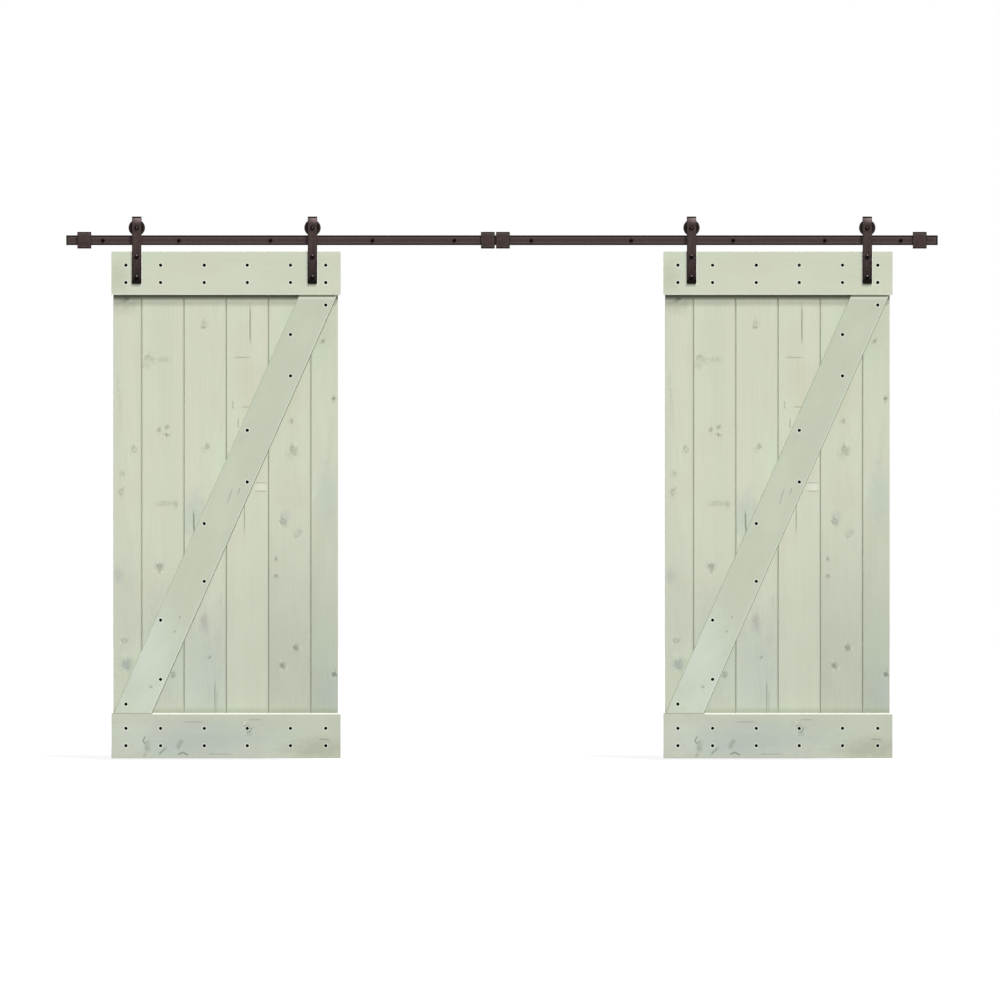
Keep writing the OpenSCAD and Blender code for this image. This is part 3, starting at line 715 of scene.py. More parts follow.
def by_side(place, levels):
    """One level to the left of the brace's middle line, and another to its right."""
    return ramp(place["Off Brace"], -MM, MM, *levels)


# Pooled stain in the seams; painted shade below the top board, beside the brace and above the ledge.
def shade_and_stain_on_plank(place):
    seam = ramp(calc("PINGPONG", place["Across"], plank_pitch / 2), 0.0, SEAM_REACH, SEAM_DARK, 0.0)
    under_top = ramp(place["Down"] - top_edge, UNDER_RAIL, UNDER_RAIL_END, 1.0, 0.0)
    by_brace = ramp(off_brace_edge(place), 0.0, BESIDE_BRACE, 1.0, 0.0)
    by_brace = by_brace * by_side(place, LEFT_AND_RIGHT_OF_BRACE)
    on_ledge = ramp(place["Down"], bottom_edge - LEDGE_REACH, bottom_edge, 0.0, LEDGE_DARK)
    in_front = ramp(place["Depth"], plank_front - MM, plank_front + MM, 1.0, 0.0)
    return larger(seam, larger(under_top, larger(by_brace, on_ledge)) * in_front)


# Painted shade along the brace's edges and along its top, just below the top board.
def painted_shade_on_brace(place):
    along_side = ramp(off_brace_edge(place), -BRACE_RIM, 0.0) * by_side(place, LEFT_AND_RIGHT_ON_BRACE)
    along_top = ramp(place["Down"], top_edge + BRACE_TOP, top_edge + BRACE_TOP_END, 1.0, 0.0)
    return larger(along_side, along_top)


# Painted shade along the bottom board's top edge as far as the brace's foot.
def painted_shade_on_bottom_rail(place):
    foot = ramp(place["Across"], brace_foot, brace_foot + FOOT_SIDE, FOOT_SHADE, 0.0)
    return foot * ramp(place["Down"], bottom_edge, bottom_edge + FOOT_LINE, 1.0, 0.0)


# The boards that get painted shade, and on the planks pooled stain with it.
SHADE_AND_STAIN = {"brace": painted_shade_on_brace, "bottom_rail": painted_shade_on_bottom_rail}
SHADE_AND_STAIN.update({name: shade_and_stain_on_plank for name in BOARDS if name.startswith("plank")})
print("stain gathers on:", ", ".join(SHADE_AND_STAIN))

# %% [markdown]
# ## Painted highlights
# A painted highlight lies along the upper front edge of the bottom board, the lower edge of the top
# board, the right edge of the brace and the brace's top just below its dark line, and painted light on
# the top board round the straps' outlines lightens the shadows that they cast there. An edge mask from
# the mesh would light every edge alike, and only some of them get a highlight.

# %% Painted highlights
LEDGE_LIT = 3 * MM
LEDGE_LIT_END = 8 * MM
ARRIS = 0.5 * MM
ARRIS_END = 2.5 * MM
LOW_EDGE = 6 * MM
LOW_EDGE_LIT = 2 * MM
BRACE_EDGE = 6 * MM
BRACE_EDGE_LIT = 3 * MM
BRACE_PALE = 11 * MM
BRACE_PALE_END = 22 * MM
STRAP_LIGHT_END = 5 * MM
STRAP_LIGHT_FULL = 2 * MM
LEDGE_HIGHLIGHT = 0.85
LOW_EDGE_HIGHLIGHT = 0.5
STRAP_LIGHT = 0.8
BRACE_SIDE_HIGHLIGHT = 0.3
BRACE_TOP_HIGHLIGHT = 0.25


# Painted highlight on the front edge of the bottom board's top, right of the brace's foot.
def highlight_on_bottom_rail(place):
    past_foot = ramp(place["Across"], brace_foot, brace_foot + FOOT_SIDE)
    ledge = ramp(place["Down"], bottom_edge + LEDGE_LIT, bottom_edge + LEDGE_LIT_END, LEDGE_HIGHLIGHT, 0.0)
    return past_foot * ledge * ramp(place["Depth"], ARRIS, ARRIS_END, 1.0, 0.0)


# Painted highlight along the top board's lower edge, and painted light round the straps.
def highlight_on_top_rail(place):
    low_edge = ramp(place["Down"], top_edge - LOW_EDGE, top_edge - LOW_EDGE_LIT, 0.0, LOW_EDGE_HIGHLIGHT)
    hanger = use_group(hanger_place, {"Position": place["Position"]})
    below = (strap_low.z - axle_z) - hanger["Above"]
    from_strap = larger(abs(hanger["Beside"]) - strap_half, below)
    return larger(low_edge, ramp(from_strap, STRAP_LIGHT_FULL, STRAP_LIGHT_END, 1.0, 0.0) * STRAP_LIGHT)


# Painted highlight along the brace's right edge and just below its top.
def highlight_on_brace(place):
    off_side = place["Off Brace"] - brace_half
    below_rail = place["Down"] - top_edge
    right_edge = ramp(off_side, -BRACE_EDGE, -BRACE_EDGE_LIT, 0.0, BRACE_SIDE_HIGHLIGHT)
    upper_edge = ramp(below_rail, BRACE_PALE + MM, BRACE_PALE_END, BRACE_TOP_HIGHLIGHT, 0.0)
    return larger(right_edge, ramp(below_rail, BRACE_PALE - 2 * MM, BRACE_PALE) * upper_edge)


# The boards that get painted highlights.
PAINTED_HIGHLIGHTS = {"bottom_rail": highlight_on_bottom_rail, "top_rail": highlight_on_top_rail, "brace": highlight_on_brace}
print("stain is worn on:", ", ".join(PAINTED_HIGHLIGHTS))

# %% [markdown]
# ## Round the face screws
# Driving a screw has crushed the wood round its head into a dark rim, with painted shade in the
# countersink added to it, and bared a paler ring outside it.
# The screws' places could be listed, but are found from the imported heads, so that the rims always fit:
# points that lie close together belong to one screw.

# %% Round the face screws
SCREW_APART = 30 * MM
SCREW_RIM = 7.1 * MM
RIM_SOFT = 0.6 * MM
BARED_END = 5 * MM
BARED_PALE = 0.5
# The pale of the ring bared round each screw, and of the painted highlights.
PALE_WEAR_AND_HIGHLIGHT = paint(250, 253, 241)
# Crushed wood and painted shade in the countersink, in one dark rim.
CRUSHED_RIM_AND_SHADE = paint(6, 6, 5)


def screw_places():
    """The face screws of a door, across and down in door measures, by board."""
    spots = []
    for vertex in nodes["left_face_screws"].data.vertices:
        spot = Vector((vertex.co.x + door_middle, door_top - vertex.co.z, 0))
        group = next((group for group in spots if (group[0] - spot).length < SCREW_APART), None)
        if group:
            group.append(spot)
        else:
            spots.append([spot])
    boards = {"top_rail": [], "brace": [], "bottom_rail": []}
    for group in spots:
        middle = sum(group, Vector()) / len(group)
        lower = "bottom_rail" if middle.y > bottom_edge else "brace"
        boards["top_rail" if middle.y < top_edge else lower].append(middle)
    return boards


def screwed(place, screws, colour):
    """The colour with the marks that the screws have left, and painted shade in their countersinks."""
    from_screw = nearest(point_at(place["Across"], place["Down"], 0.0), screws, SCREW_APART)
    bared = ramp(from_screw, SCREW_RIM + MM, SCREW_RIM + BARED_END, BARED_PALE, 0.0)
    colour = mix(bared, colour, PALE_WEAR_AND_HIGHLIGHT)
    # The dark rim: crushed wood with painted shade in the countersink.
    rim_and_shade = ramp(from_screw, SCREW_RIM - RIM_SOFT, SCREW_RIM + RIM_SOFT, 1.0, 0.0)
    return mix(rim_and_shade, colour, CRUSHED_RIM_AND_SHADE)


SCREWS = screw_places()
print("face screws:", {name: len(screws) for name, screws in SCREWS.items()})

# %% [markdown]
# ## Grain on a board
# The grain runs down a plank, across a rail and along the brace. Clouds, streaks, rings and fibre make
# the stain a little lighter or darker, and sawn ends drink more of it and turn darker. The lighter and
# darker parts could be two colours, but a factor keeps every board's own tint.

# %% Grain on a board
CLOUD_LIGHT = 0.04
FIBRE_LIGHT = 0.015
FIGURE_LIGHT = 0.019
SAWN_DARK = 0.15


def swing(value, amount):
    """From minus to plus the amount, as a noise goes from low to high."""
    return ramp(value, 0.3, 0.7, -amount, amount)


def pine_grain(name, board, place, across):
    """The grain patterns of a board, laid along it."""
    along, side = place["Along Brace"], place["Off Brace"]
    if name.startswith("plank"):
        along, side = place["Down"], across
    elif name.endswith("rail"):
        along, side = across, place["Down"]
    return use_group(grain, {"Along": along, "Across": side, "Depth": place["Depth"], "Seed": board.seed})


def grain_light(name, board, wood, tree):
    """How light the grain, the clouds and the sawn ends make the stain."""
    depth = FIGURE_LIGHT * board.figure
    light = ramp(wood["Streaks"], 0.25, 0.75, 1 + depth, 1 - depth) - wood["Rings"] * depth
    light = light + swing(wood["Cloud"], CLOUD_LIGHT) + swing(wood["Fibre"], FIBRE_LIGHT)
    facing = split(Wire(add_node(tree, "NewGeometry").outputs["Normal"]))
    end_grain = facing.x if name.endswith("rail") else facing.z
    return (light - ramp(abs(end_grain), 0.85, 0.95) * SAWN_DARK) * board.tone


print("grain can be laid on", len(BOARDS), "boards")

# %% [markdown]
# ## Stained pine
# The stain is a thin sage green that lets the cream of the wood through. Bands mix the two, grey is added
# towards the floor, blooms tint the result, and the grain and the marks change it. Fibre and rings can be
# felt, so they also go into the bump, where the marks are left out because the stain has filled them. One
# colour with noise over it would be quicker, but all boards would look alike.

# %% Stained pine
CREAM = paint(214, 217, 196)
SAGE = paint(203, 211, 190)
DUSK = paint(184, 191, 174)
KNOT_GREY = paint(112, 120, 102)
# The grey of the pooled stain in the seams and of the painted shade in the corners.
SHADE_AND_STAIN_GREY = paint(112, 118, 98)
BAND_GREEN = 0.25
CLOUD_GREEN = 0.4
HALO_PALE = 0.4
DUSK_FROM = 0.85
DUSK_FULL = 0.85 * door_height
RING_FELT = 0.6
FELT_DEPTH = 0.4 * MM


def stained_pine(name, board):
    material, shader, position = start_material("stained_pine_" + name)
    place = {"Position": position, **use_group(door_place, {"Position": position})}
    across, dark, pale = marked(board, place)
    wood = pine_grain(name, board, place, across)
    green = swing(wood["Bands"], BAND_GREEN) + board.sage + swing(wood["Cloud"], CLOUD_GREEN)
    colour = mix(green, CREAM, SAGE)
    colour = mix(ramp(place["Down"], DUSK_FROM, DUSK_FULL, 0.0, board.shade), colour, DUSK)
    colour = tinted(board, place, colour)
    colour = mix(1.0, colour, grain_light(name, board, wood, material.node_tree), "MULTIPLY")
    colour = mix(pale * HALO_PALE, colour, CHALK)
    colour = mix(dark, colour, KNOT_GREY)
    # Pooled stain in the seams, and painted shade in the corners.
    if name in SHADE_AND_STAIN:
        colour = mix(SHADE_AND_STAIN[name](place), colour, SHADE_AND_STAIN_GREY)
    # Painted highlights along some edges, and painted light round the straps.
    if name in PAINTED_HIGHLIGHTS:
        colour = mix(PAINTED_HIGHLIGHTS[name](place), colour, PALE_WEAR_AND_HIGHLIGHT)
    # Screw marks, with painted shade in the countersinks.
    if name in SCREWS:
        colour = screwed(place, SCREWS[name], colour)
    felt = pine_grain(name, board, place, place["Across"])
    fill(shader, {
        "Base Color": colour,
        "Roughness": ramp(wood["Streaks"], 0.2, 0.8, 0.55, 0.7),
        "Normal": bumped(felt["Fibre"] + felt["Rings"] * RING_FELT, 0.25, FELT_DEPTH),
        "Specular IOR Level": 0.1,
    })
    return material


for name, board in BOARDS.items():
    pine = stained_pine(name, board)
    for side in SIDES:
        wear(f"{side}_{name}", pine)
print("stained boards:", len(BOARDS) * len(SIDES))

# %% [markdown]
# ## Powder coat
# The steel is powder coated in dark bronze. Baked powder has a fine orange-peel surface and a slight
# cloudiness. Along edges the coat gets a dark line of painted shade with a painted highlight inside it.
# The first group gives cloud and peel. The second takes a distance from an edge and gives the painted
# shade there with the painted highlight inside it. A bevel node finds edges by itself, but not how far
# a point lies from them.

# %% Powder coat
CLOUD_SCALE = 70.0
PEEL_SCALE = 1500.0

coat, given, result = start_group("powder coat", ["Position"], ["Cloud", "Peel"])
result("Cloud", noise(given["Position"], CLOUD_SCALE, 3.0))
result("Peel", noise(given["Position"], PEEL_SCALE, 1.0))

# A dark line of painted shade along an edge, and a painted highlight inside it.
edge_shade_and_highlight, given, result = start_group("edge line", ["From Edge", "Reach"], ["Edge", "Shoulder"])
share = given["From Edge"] / given["Reach"]
result("Edge", ramp(share, 0.75, 1.1, 1.0, 0.0))
result("Shoulder", ramp(share, 0.9, 1.4) * ramp(share, 1.5, 2.4, 1.0, 0.0))
print("groups:", coat.name, "and", edge_shade_and_highlight.name)

# %% [markdown]
# ## Where the steel's edges lie
# The track, the stops and the straps wear the same coat and differ in where their edges lie, and so in
# where the painted shade and highlight along the edges go. The bar's edges are at its top, bottom and
# ends. A stop has a dark rim of painted shade all round. A strap's edges are its long sides. Over its
# bend a painted highlight makes it paler, mostly on its right half, with a dark line of painted shade
# along the top, and its foot is nearly black.

# %% Steel edges
# Painted shade along the steel's edges and along the top of a strap's bend.
BRONZE_SHADE = paint(16, 11, 8)
BRONZE_LOW = paint(38, 29, 30)
BRONZE_FOOT = paint(22, 20, 15)
# The painted highlight over a strap's bend.
BRONZE_BEND_HIGHLIGHT = paint(130, 113, 114)
BEND_TOP = 7 * MM
BEND_PALE = 14 * MM
BEND_LOW = 33 * MM
FOOT_DARK = 12 * MM
FOOT_END = 32 * MM
stop_low, stop_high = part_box("left_outer_stop")
stop_half = (stop_high.x - stop_low.x) / 2


def bar_edge(point, place):
    return calc("MINIMUM", bar_half - abs(point.z), bar_end - abs(point.x))


def stop_edge(centre):
    def from_edge(point, place):
        ends = stop_half - abs(point.x - centre)
        return calc("MINIMUM", stop_high.z - abs(point.z), ends * 2.0)
    return from_edge


def strap_edge(point, place):
    return strap_half - abs(place["Beside"])


def strap_highlight_and_shade(point, place, colour):
    """Painted highlight over the bend, mostly to the right; painted shade at its top; its foot black."""
    low_down = ramp(point.z, strap_low.z + FOOT_END, strap_low.z + 5 * FOOT_END, 0.6, 0.0)
    colour = mix(low_down, colour, BRONZE_LOW)
    foot = ramp(point.z, strap_low.z + FOOT_DARK, strap_low.z + FOOT_END, 0.95, 0.0)
    colour = mix(foot, colour, BRONZE_FOOT)
    # A painted highlight over the bend, stronger to the right.
    bend = ramp(point.z, strap_high.z - BEND_LOW, strap_high.z - BEND_PALE)
    to_right = ramp(place["Beside"], -strap_half, 0.6 * strap_half, 0.45, 1.0)
    colour = mix(bend * to_right, colour, BRONZE_BEND_HIGHLIGHT)
    # A painted shade line along the top of the bend.
    top = ramp(point.z, strap_high.z - BEND_TOP - MM, strap_high.z - BEND_TOP + MM)
    return mix(top, colour, BRONZE_SHADE)


print("stop", round(2 * stop_half, 4), "m wide")

# %% [markdown]
# ## Bronze steel
# One function makes the finish of every piece of bronze steel, from the coat, the painted shade and
# highlight along the edges, and any painted highlight and shade of that piece. Painting each piece by
# itself would repeat the coat.

# %% Bronze steel
BRONZE = paint(69, 57, 56)
# Paler powder in the clouds, and the painted highlight inside the edges.
BRONZE_PALE_AND_HIGHLIGHT = paint(92, 80, 77)
BAR_REACH = 6.5 * MM
RIM_REACH = 5 * MM
SIDE_REACH = 4 * MM
PEEL_DEPTH = 0.1 * MM


def bronze_steel(name, from_edge=None, reach=RIM_REACH, edge=0.9, shoulder=0.7, shades=None):
    """Edge is the strength of the painted shade on edges, and shoulder of the painted highlight inside."""
    material, shader, position = start_material(name)
    point = split(position)
    place = use_group(hanger_place, {"Position": position})
    powder = use_group(coat, {"Position": position})
    colour = mix(ramp(powder["Cloud"], 0.3, 0.7, 0.0, 0.25), BRONZE, BRONZE_PALE_AND_HIGHLIGHT)
    if shades:
        colour = shades(point, place, colour)
    if from_edge:
        line = use_group(edge_shade_and_highlight, {"From Edge": from_edge(point, place), "Reach": reach})
        # Painted highlight inside the edges, then painted shade along them.
        colour = mix(line["Shoulder"] * shoulder, colour, BRONZE_PALE_AND_HIGHLIGHT)
        colour = mix(line["Edge"] * edge, colour, BRONZE_SHADE)
    fill(shader, {
        "Base Color": colour,
        "Roughness": ramp(powder["Cloud"], 0.2, 0.8, 0.42, 0.56),
        "Normal": bumped(powder["Peel"], 0.15, PEEL_DEPTH),
        "Specular IOR Level": 0.04,
    })
    return material


bar_bronze = bronze_steel("bar_bronze", bar_edge, BAR_REACH)
strap_bronze = bronze_steel("strap_bronze", strap_edge, SIDE_REACH, 0.3, 0.0, strap_highlight_and_shade)
plain_bronze = bronze_steel("plain_bronze")
for name in ("left_rail", "right_rail"):
    wear(name, bar_bronze)
for name in ("rail_joiner", "rail_spacers"):
    wear(name, plain_bronze)
print("bronze on the track and its spacers")

# %% [markdown]
# ## Bolts, screws, wheels and bearings
# The remaining finishes are all plain: glossy paint on the bolt heads, blackened steel on nuts, washers
# and lag screws, black phosphate on the wood screws, moulded nylon on the wheels and ground steel on the
# bearings. One function makes them, because they differ only in their colours, gloss and scale of
# unevenness. Some get painted light round a spot: a wheel has painted shade on its hub, behind the strap,
# so that its rim is paler, an axle bolt a painted highlight in its middle, and a strap bolt a painted
# highlight along the top of its head.

# %% Plain finishes
def plain_finish(name, first, second, scale, rough, specular=0.25, metallic=0.0, painted_light=None):
    """Two shades in clouds. Painted light: heights above the axle, and how far off them a tint comes in."""
    material, shader, position = start_material(name)
    cloud = noise(position, scale, 3.0)
    colour = mix(ramp(cloud, 0.3, 0.7), first, second)
    if painted_light:
        heights, start, end, tint = painted_light
        place = use_group(hanger_place, {"Position": position})
        spot = point_at(place["Beside"], place["Above"], 0.0)
        away = nearest(spot, [(0, height, 0) for height in heights], 1.0)
        colour = mix(ramp(away, start, end), colour, tint)
    fill(shader, {
        "Base Color": colour,
        "Roughness": ramp(cloud, 0.2, 0.8, rough - 0.06, rough + 0.06),
        "Normal": bumped(noise(position, 6 * scale, 2.0), 0.1, 0.1 * MM),
        "Metallic": metallic,
        "Specular IOR Level": specular,
    })
    return material


print("plain finishes ready")

# %% [markdown]
# ## Small finishes
# Each finish is mixed here and put on the imported screws, wheels and bearings. The bolts, nuts and washers
# get theirs when they are modelled.

# %% Small finishes
# Sizes of the painted shade on the wheels' hubs and the painted highlights on the bolt heads.
WHEEL_HUB = 25 * MM
HUB_SOFT = 2 * MM
AXLE_SPOT = 2.2 * MM
HEAD_FLATS = 17 * MM
CREST_UP = 6 * MM
CREST_SIZE = 1.6 * MM
bolts_low, bolts_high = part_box("left_strap_bolts")
bolt_rows = (bolts_high.z - HEAD_FLATS / 2, bolts_low.z + HEAD_FLATS / 2)
crests = [row - axle_z + CREST_UP for row in bolt_rows]

# A pale painted highlight on the crest of each head, and near black round it.
bolt_paint = plain_finish(
    "bolt_paint", paint(140, 124, 126), paint(126, 110, 112), 200, 0.26, 0.12,
    painted_light=(crests, CREST_SIZE, 2 * CREST_SIZE, paint(8, 2, 3)),
)
# A pale painted highlight in the middle of each head, and near black round it.
axle_paint = plain_finish(
    "axle_paint", paint(104, 88, 88), paint(96, 80, 80), 200, 0.4, 0.05,
    painted_light=([0.0], AXLE_SPOT, 2 * AXLE_SPOT, paint(12, 5, 6)),
)
# Painted shade on the hub, behind the strap, so that the rim is paler.
wheel_nylon = plain_finish(
    "wheel_nylon", paint(10, 8, 8), paint(16, 13, 13), 160, 0.45, 0.06,
    painted_light=([0.0], WHEEL_HUB, WHEEL_HUB + HUB_SOFT, paint(50, 41, 40)),
)
black_steel = plain_finish("black_steel", paint(10, 7, 7), paint(16, 12, 11), 220, 0.38, 0.04)
black_phosphate = plain_finish("black_phosphate", paint(8, 8, 7), paint(12, 12, 11), 400, 0.5, 0.02)
ground_steel = plain_finish(
    "ground_steel", paint(150, 152, 156), paint(176, 178, 182), 500, 0.28, metallic=1.0
)
for name in ("joiner_screws", "stop_set_screws", "left_face_screws", "right_face_screws"):
    wear(name, black_phosphate)
for side in SIDES:
    for name in ("bearing_cores", "bearing_balls", "axle_bushes", "outer_bearing", "inner_bearing"):
        wear(f"{side}_{name}", ground_steel)
    for end in ENDS:
        wear(f"{side}_{end}_wheel", wheel_nylon)
print("finishes on screws, wheels and bearings")

# %% [markdown]
# ## Starting a piece
# The bent and forged hardware is modelled again, because its true edges, domes and threads are what makes
# it look like steel. Each piece starts from a primitive, with its place in its mesh, which mesh operators
# then shape. An operator acts on all that is selected, so each helper first selects what it is about.

# %% Starting a piece
def pick(*pieces):
    """Selects just these pieces and makes the first one active."""
    bpy.ops.object.select_all(action="DESELECT")
    for piece in pieces:
        piece.select_set(True)
    bpy.context.view_layer.objects.active = pieces[0]


def fresh(add, **settings):
    """A new primitive with its place in its mesh."""
    bpy.ops.object.select_all(action="DESELECT")
    add(**settings)
    bpy.ops.object.transform_apply(location=True, rotation=True, scale=True)
    return bpy.context.object


def block(low, high):
    low, high = Vector(low), Vector(high)
    return fresh(bpy.ops.mesh.primitive_cube_add, size=1, location=(low + high) / 2, scale=high - low)


def rod(radius, start, end, sides=48, turn=0.0):
    """A cylinder along +Y from start to end."""
    return fresh(
        bpy.ops.mesh.primitive_cylinder_add, vertices=sides, radius=radius, depth=end - start,
        location=(0, (start + end) / 2, 0), rotation=(math.radians(90), math.radians(turn), 0),
    )


def hexagon(flats, start, end):
    """A hexagon bar along +Y with two corners level."""
    return rod(flats / math.sqrt(3), start, end, 6, 30)


print("primitives ready")

# %% [markdown]
# ## Choosing faces and edges
# By hand, faces and edges are clicked on. A script could list their numbers, but those change with every
# edit, so they are chosen by a test, such as which way they face, and then shaped by an operator.

# %% Choosing faces and edges
FACING = 0.9


def choose(piece, kind, test):
    """Goes into edit mode with just those faces or edges chosen for which test holds."""
    pick(piece)
    bpy.ops.object.mode_set(mode="EDIT")
    bpy.ops.mesh.select_mode(type=kind)
    bpy.ops.mesh.select_all(action="DESELECT")
    mesh = bmesh.from_edit_mesh(piece.data)
    for element in mesh.faces if kind == "FACE" else mesh.edges:
        element.select_set(test(element))
    bmesh.update_edit_mesh(piece.data)


def done():
    bpy.ops.object.mode_set(mode="OBJECT")


def bevel_chosen(width, segments):
    bpy.ops.mesh.bevel(offset=width, segments=segments, affect="EDGES")
    done()


def runs_back(edge):
    """True for an edge that goes from front to back."""
    first, second = edge.verts
    return abs(first.co.y - second.co.y) > MM


def is_end(face):
    """True for a face across a rod's end."""
    return abs(face.normal.y) > FACING


print("faces and edges can be chosen")

# %% [markdown]
# ## Cutting and easing
# Cuts are made with another piece as the tool, and edges are eased all over the piece at once. Modifiers do
# both, and are applied straight away, because a later cut has to see the finished mesh.

# %% Cutting and easing
SMOOTH_ANGLE = math.radians(35)


def apply_modifier(piece, kind, **settings):
    pick(piece)
    modifier = piece.modifiers.new(kind.lower(), kind)
    for name, value in settings.items():
        setattr(modifier, name, value)
    bpy.ops.object.modifier_apply(modifier=modifier.name)


def carve(piece, tool, operation="DIFFERENCE"):
    apply_modifier(piece, "BOOLEAN", operation=operation, object=tool, solver="EXACT")
    bpy.data.objects.remove(tool)


def smooth():
    bpy.ops.object.shade_smooth_by_angle(angle=SMOOTH_ANGLE)


def ease(piece, width):
    """Rounds every edge that is sharper than a smooth surface would be, and smooths the shading."""
    apply_modifier(piece, "BEVEL", width=width, segments=2, limit_method="ANGLE", angle_limit=SMOOTH_ANGLE)
    smooth()


print("edges over", round(math.degrees(SMOOTH_ANGLE)), "degrees are eased")

# %% [markdown]
# ## Setting out and handing over
# What repeats is modelled once. A copy with its own mesh goes to each place, and the copies of one kind
# on one body are joined. A finished piece gets its finish, rides on its body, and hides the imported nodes
# that it stands for.

# %% Setting out
def joined(*pieces):
    pick(*pieces)
    bpy.ops.object.join()
    return bpy.context.object


def set_out(model, name, places):
    """One piece with a copy of the model at each place."""
    copies = []
    for place in places:
        pick(model)
        bpy.ops.object.duplicate()
        bpy.ops.transform.translate(value=place)
        bpy.ops.object.transform_apply(location=True)
        copies.append(bpy.context.object)
    made = joined(*copies) if len(copies) > 1 else copies[0]
    made.name = name
    return made


def hand_over(piece, material, body, slot, *replaced):
    piece.data.materials.clear()
    piece.data.materials.append(material)
    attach(piece, body)
    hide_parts(*replaced)


print("setting out ready")

# %% [markdown]
# ## Bent straps
# A hanger is one flat bar, bent over the wheel into a hook. The front leg starts as a block. Its top face
# is swept through half a turn about the middle of the bend, as a bending press would lay it, and drawn
# down behind the wheel as the short back leg. The lower corners are rounded, holes are cut for the axle
# and for two bolts, and all edges are eased. A plain cut-out would miss the even thickness that the sweep
# keeps round the bend.

# %% Bent straps
STRAP_THICK = 5 * MM
STRAP_CORNER = 3 * MM
STRAP_EASE = 0.5 * MM
BACK_LEG = 22 * MM
BOLT_HOLE = 5.2 * MM
BEND_STEPS = 24
hook_radius = bar_mid - strap_low.y
bend_z = strap_high.z - hook_radius
at_foot = strap_low.z + MM

strap = block((-strap_half, strap_low.y, strap_low.z), (strap_half, strap_low.y + STRAP_THICK, bend_z))
choose(strap, "FACE", lambda face: face.normal.z > FACING)
bpy.ops.mesh.spin(steps=BEND_STEPS, angle=math.pi, center=(0, bar_mid, bend_z), axis=(1, 0, 0))
bpy.ops.mesh.extrude_region_move(TRANSFORM_OT_translate={"value": (0, 0, axle_z - BACK_LEG - bend_z)})
bpy.ops.mesh.select_all(action="SELECT")
bpy.ops.mesh.remove_doubles(threshold=1e-6)
bpy.ops.mesh.normals_make_consistent(inside=False)
done()
choose(strap, "EDGE", lambda edge: runs_back(edge) and all(vertex.co.z < at_foot for vertex in edge.verts))
bevel_chosen(STRAP_CORNER, 5)
for hole_z in (axle_z, *bolt_rows):
    hole = rod(BOLT_HOLE, strap_low.y - MM, bar_mid + 2 * hook_radius)
    bpy.ops.transform.translate(value=(0, 0, hole_z))
    bpy.ops.object.transform_apply(location=True)
    carve(strap, hole)
ease(strap, STRAP_EASE)
for side in SIDES:
    for end in ENDS:
        node = f"{side}_{end}_strap"
        bent = set_out(strap, f"bent_strap_{side}_{end}", [(mid_x(node), 0, 0)])
        hand_over(bent, strap_bronze, f"{side}_door", "bronze_steel", node)
print("bent straps of", len(strap.data.polygons), "faces")
bpy.data.objects.remove(strap)

# %% [markdown]
# ## Clamp stops
# A stop is a block of steel with a slot that slips over the bar, open at the back where two lips hold it,
# and a set screw from below. The block's corners are rounded first, then the slot, the gap between the
# lips and the screw hole are milled out, and the edges eased as a grinder would. The slot could be left
# out, as the bar nearly fills it, but its outline shows at both ends of the stop.

# %% Clamp stops
STOP_CORNER = 2.5 * MM
STOP_EASE = 0.8 * MM
SLOT_ROOM = 0.2 * MM
LIP_GAP = 26 * MM
SET_SCREW_HOLE = 3.2 * MM
HOLE_DEPTH = 20 * MM
slot_z = bar_half + SLOT_ROOM
past_end = stop_half + MM

stop = block((-stop_half, stop_low.y, stop_low.z), (stop_half, stop_high.y, stop_high.z))
choose(stop, "EDGE", runs_back)
bevel_chosen(STOP_CORNER, 5)
carve(stop, block((-past_end, bar_low.y - SLOT_ROOM, -slot_z), (past_end, bar_high.y + SLOT_ROOM, slot_z)))
carve(stop, block((-past_end, bar_mid, -LIP_GAP / 2), (past_end, stop_high.y + MM, LIP_GAP / 2)))
carve(stop, fresh(
    bpy.ops.mesh.primitive_cylinder_add, vertices=32, radius=SET_SCREW_HOLE, depth=HOLE_DEPTH,
    location=(0, bar_mid, stop_low.z + HOLE_DEPTH / 2 - MM),
))
ease(stop, STOP_EASE)
for side in SIDES:
    for end in ENDS:
        node = f"{side}_{end}_stop"
        clamp = set_out(stop, f"clamp_stop_{side}_{end}", [(mid_x(node), 0, 0)])
        rim = bronze_steel(f"stop_bronze_{side}_{end}", stop_edge(mid_x(node)))
        hand_over(clamp, rim, "track", "bronze_steel", node)
print("clamp stops of", len(stop.data.polygons), "faces")
bpy.data.objects.remove(stop)

# %% [markdown]
# ## Heads, washers and threads
# A forged head is a hexagon bar cut by a sphere, which leaves its curved corners. A washer is a disc
# whose two faces are inset and joined by a hole. A wood thread is a small triangle swept along a helix,
# because a stack of rings would not wind.

# %% Heads, washers and threads
HEAD_EASE = 0.3 * MM
WASHER_EASE = 0.25 * MM
WASHER_SIDES = 64
THREAD_ROOT = 3.1 * MM
THREAD_WIRE = 0.6 * MM
THREAD_PITCH = 3 * MM
THREAD_STEPS = 20


def domed_head(flats, front, seat, dome):
    """A hexagon head, rounded off by a sphere that touches its front."""
    head = hexagon(flats, front, seat)
    carve(head, fresh(
        bpy.ops.mesh.primitive_uv_sphere_add, segments=64, ring_count=32, radius=dome,
        location=(0, front + dome, 0), rotation=(math.radians(90), 0, 0),
    ), "INTERSECT")
    ease(head, HEAD_EASE)
    return head


def washer(outside, inside, front, back):
    ring = rod(outside, front, back, WASHER_SIDES)
    choose(ring, "FACE", is_end)
    bpy.ops.mesh.inset(thickness=(outside - inside) * math.cos(math.pi / WASHER_SIDES))
    bpy.ops.mesh.bridge_edge_loops()
    done()
    ease(ring, WASHER_EASE)
    return ring


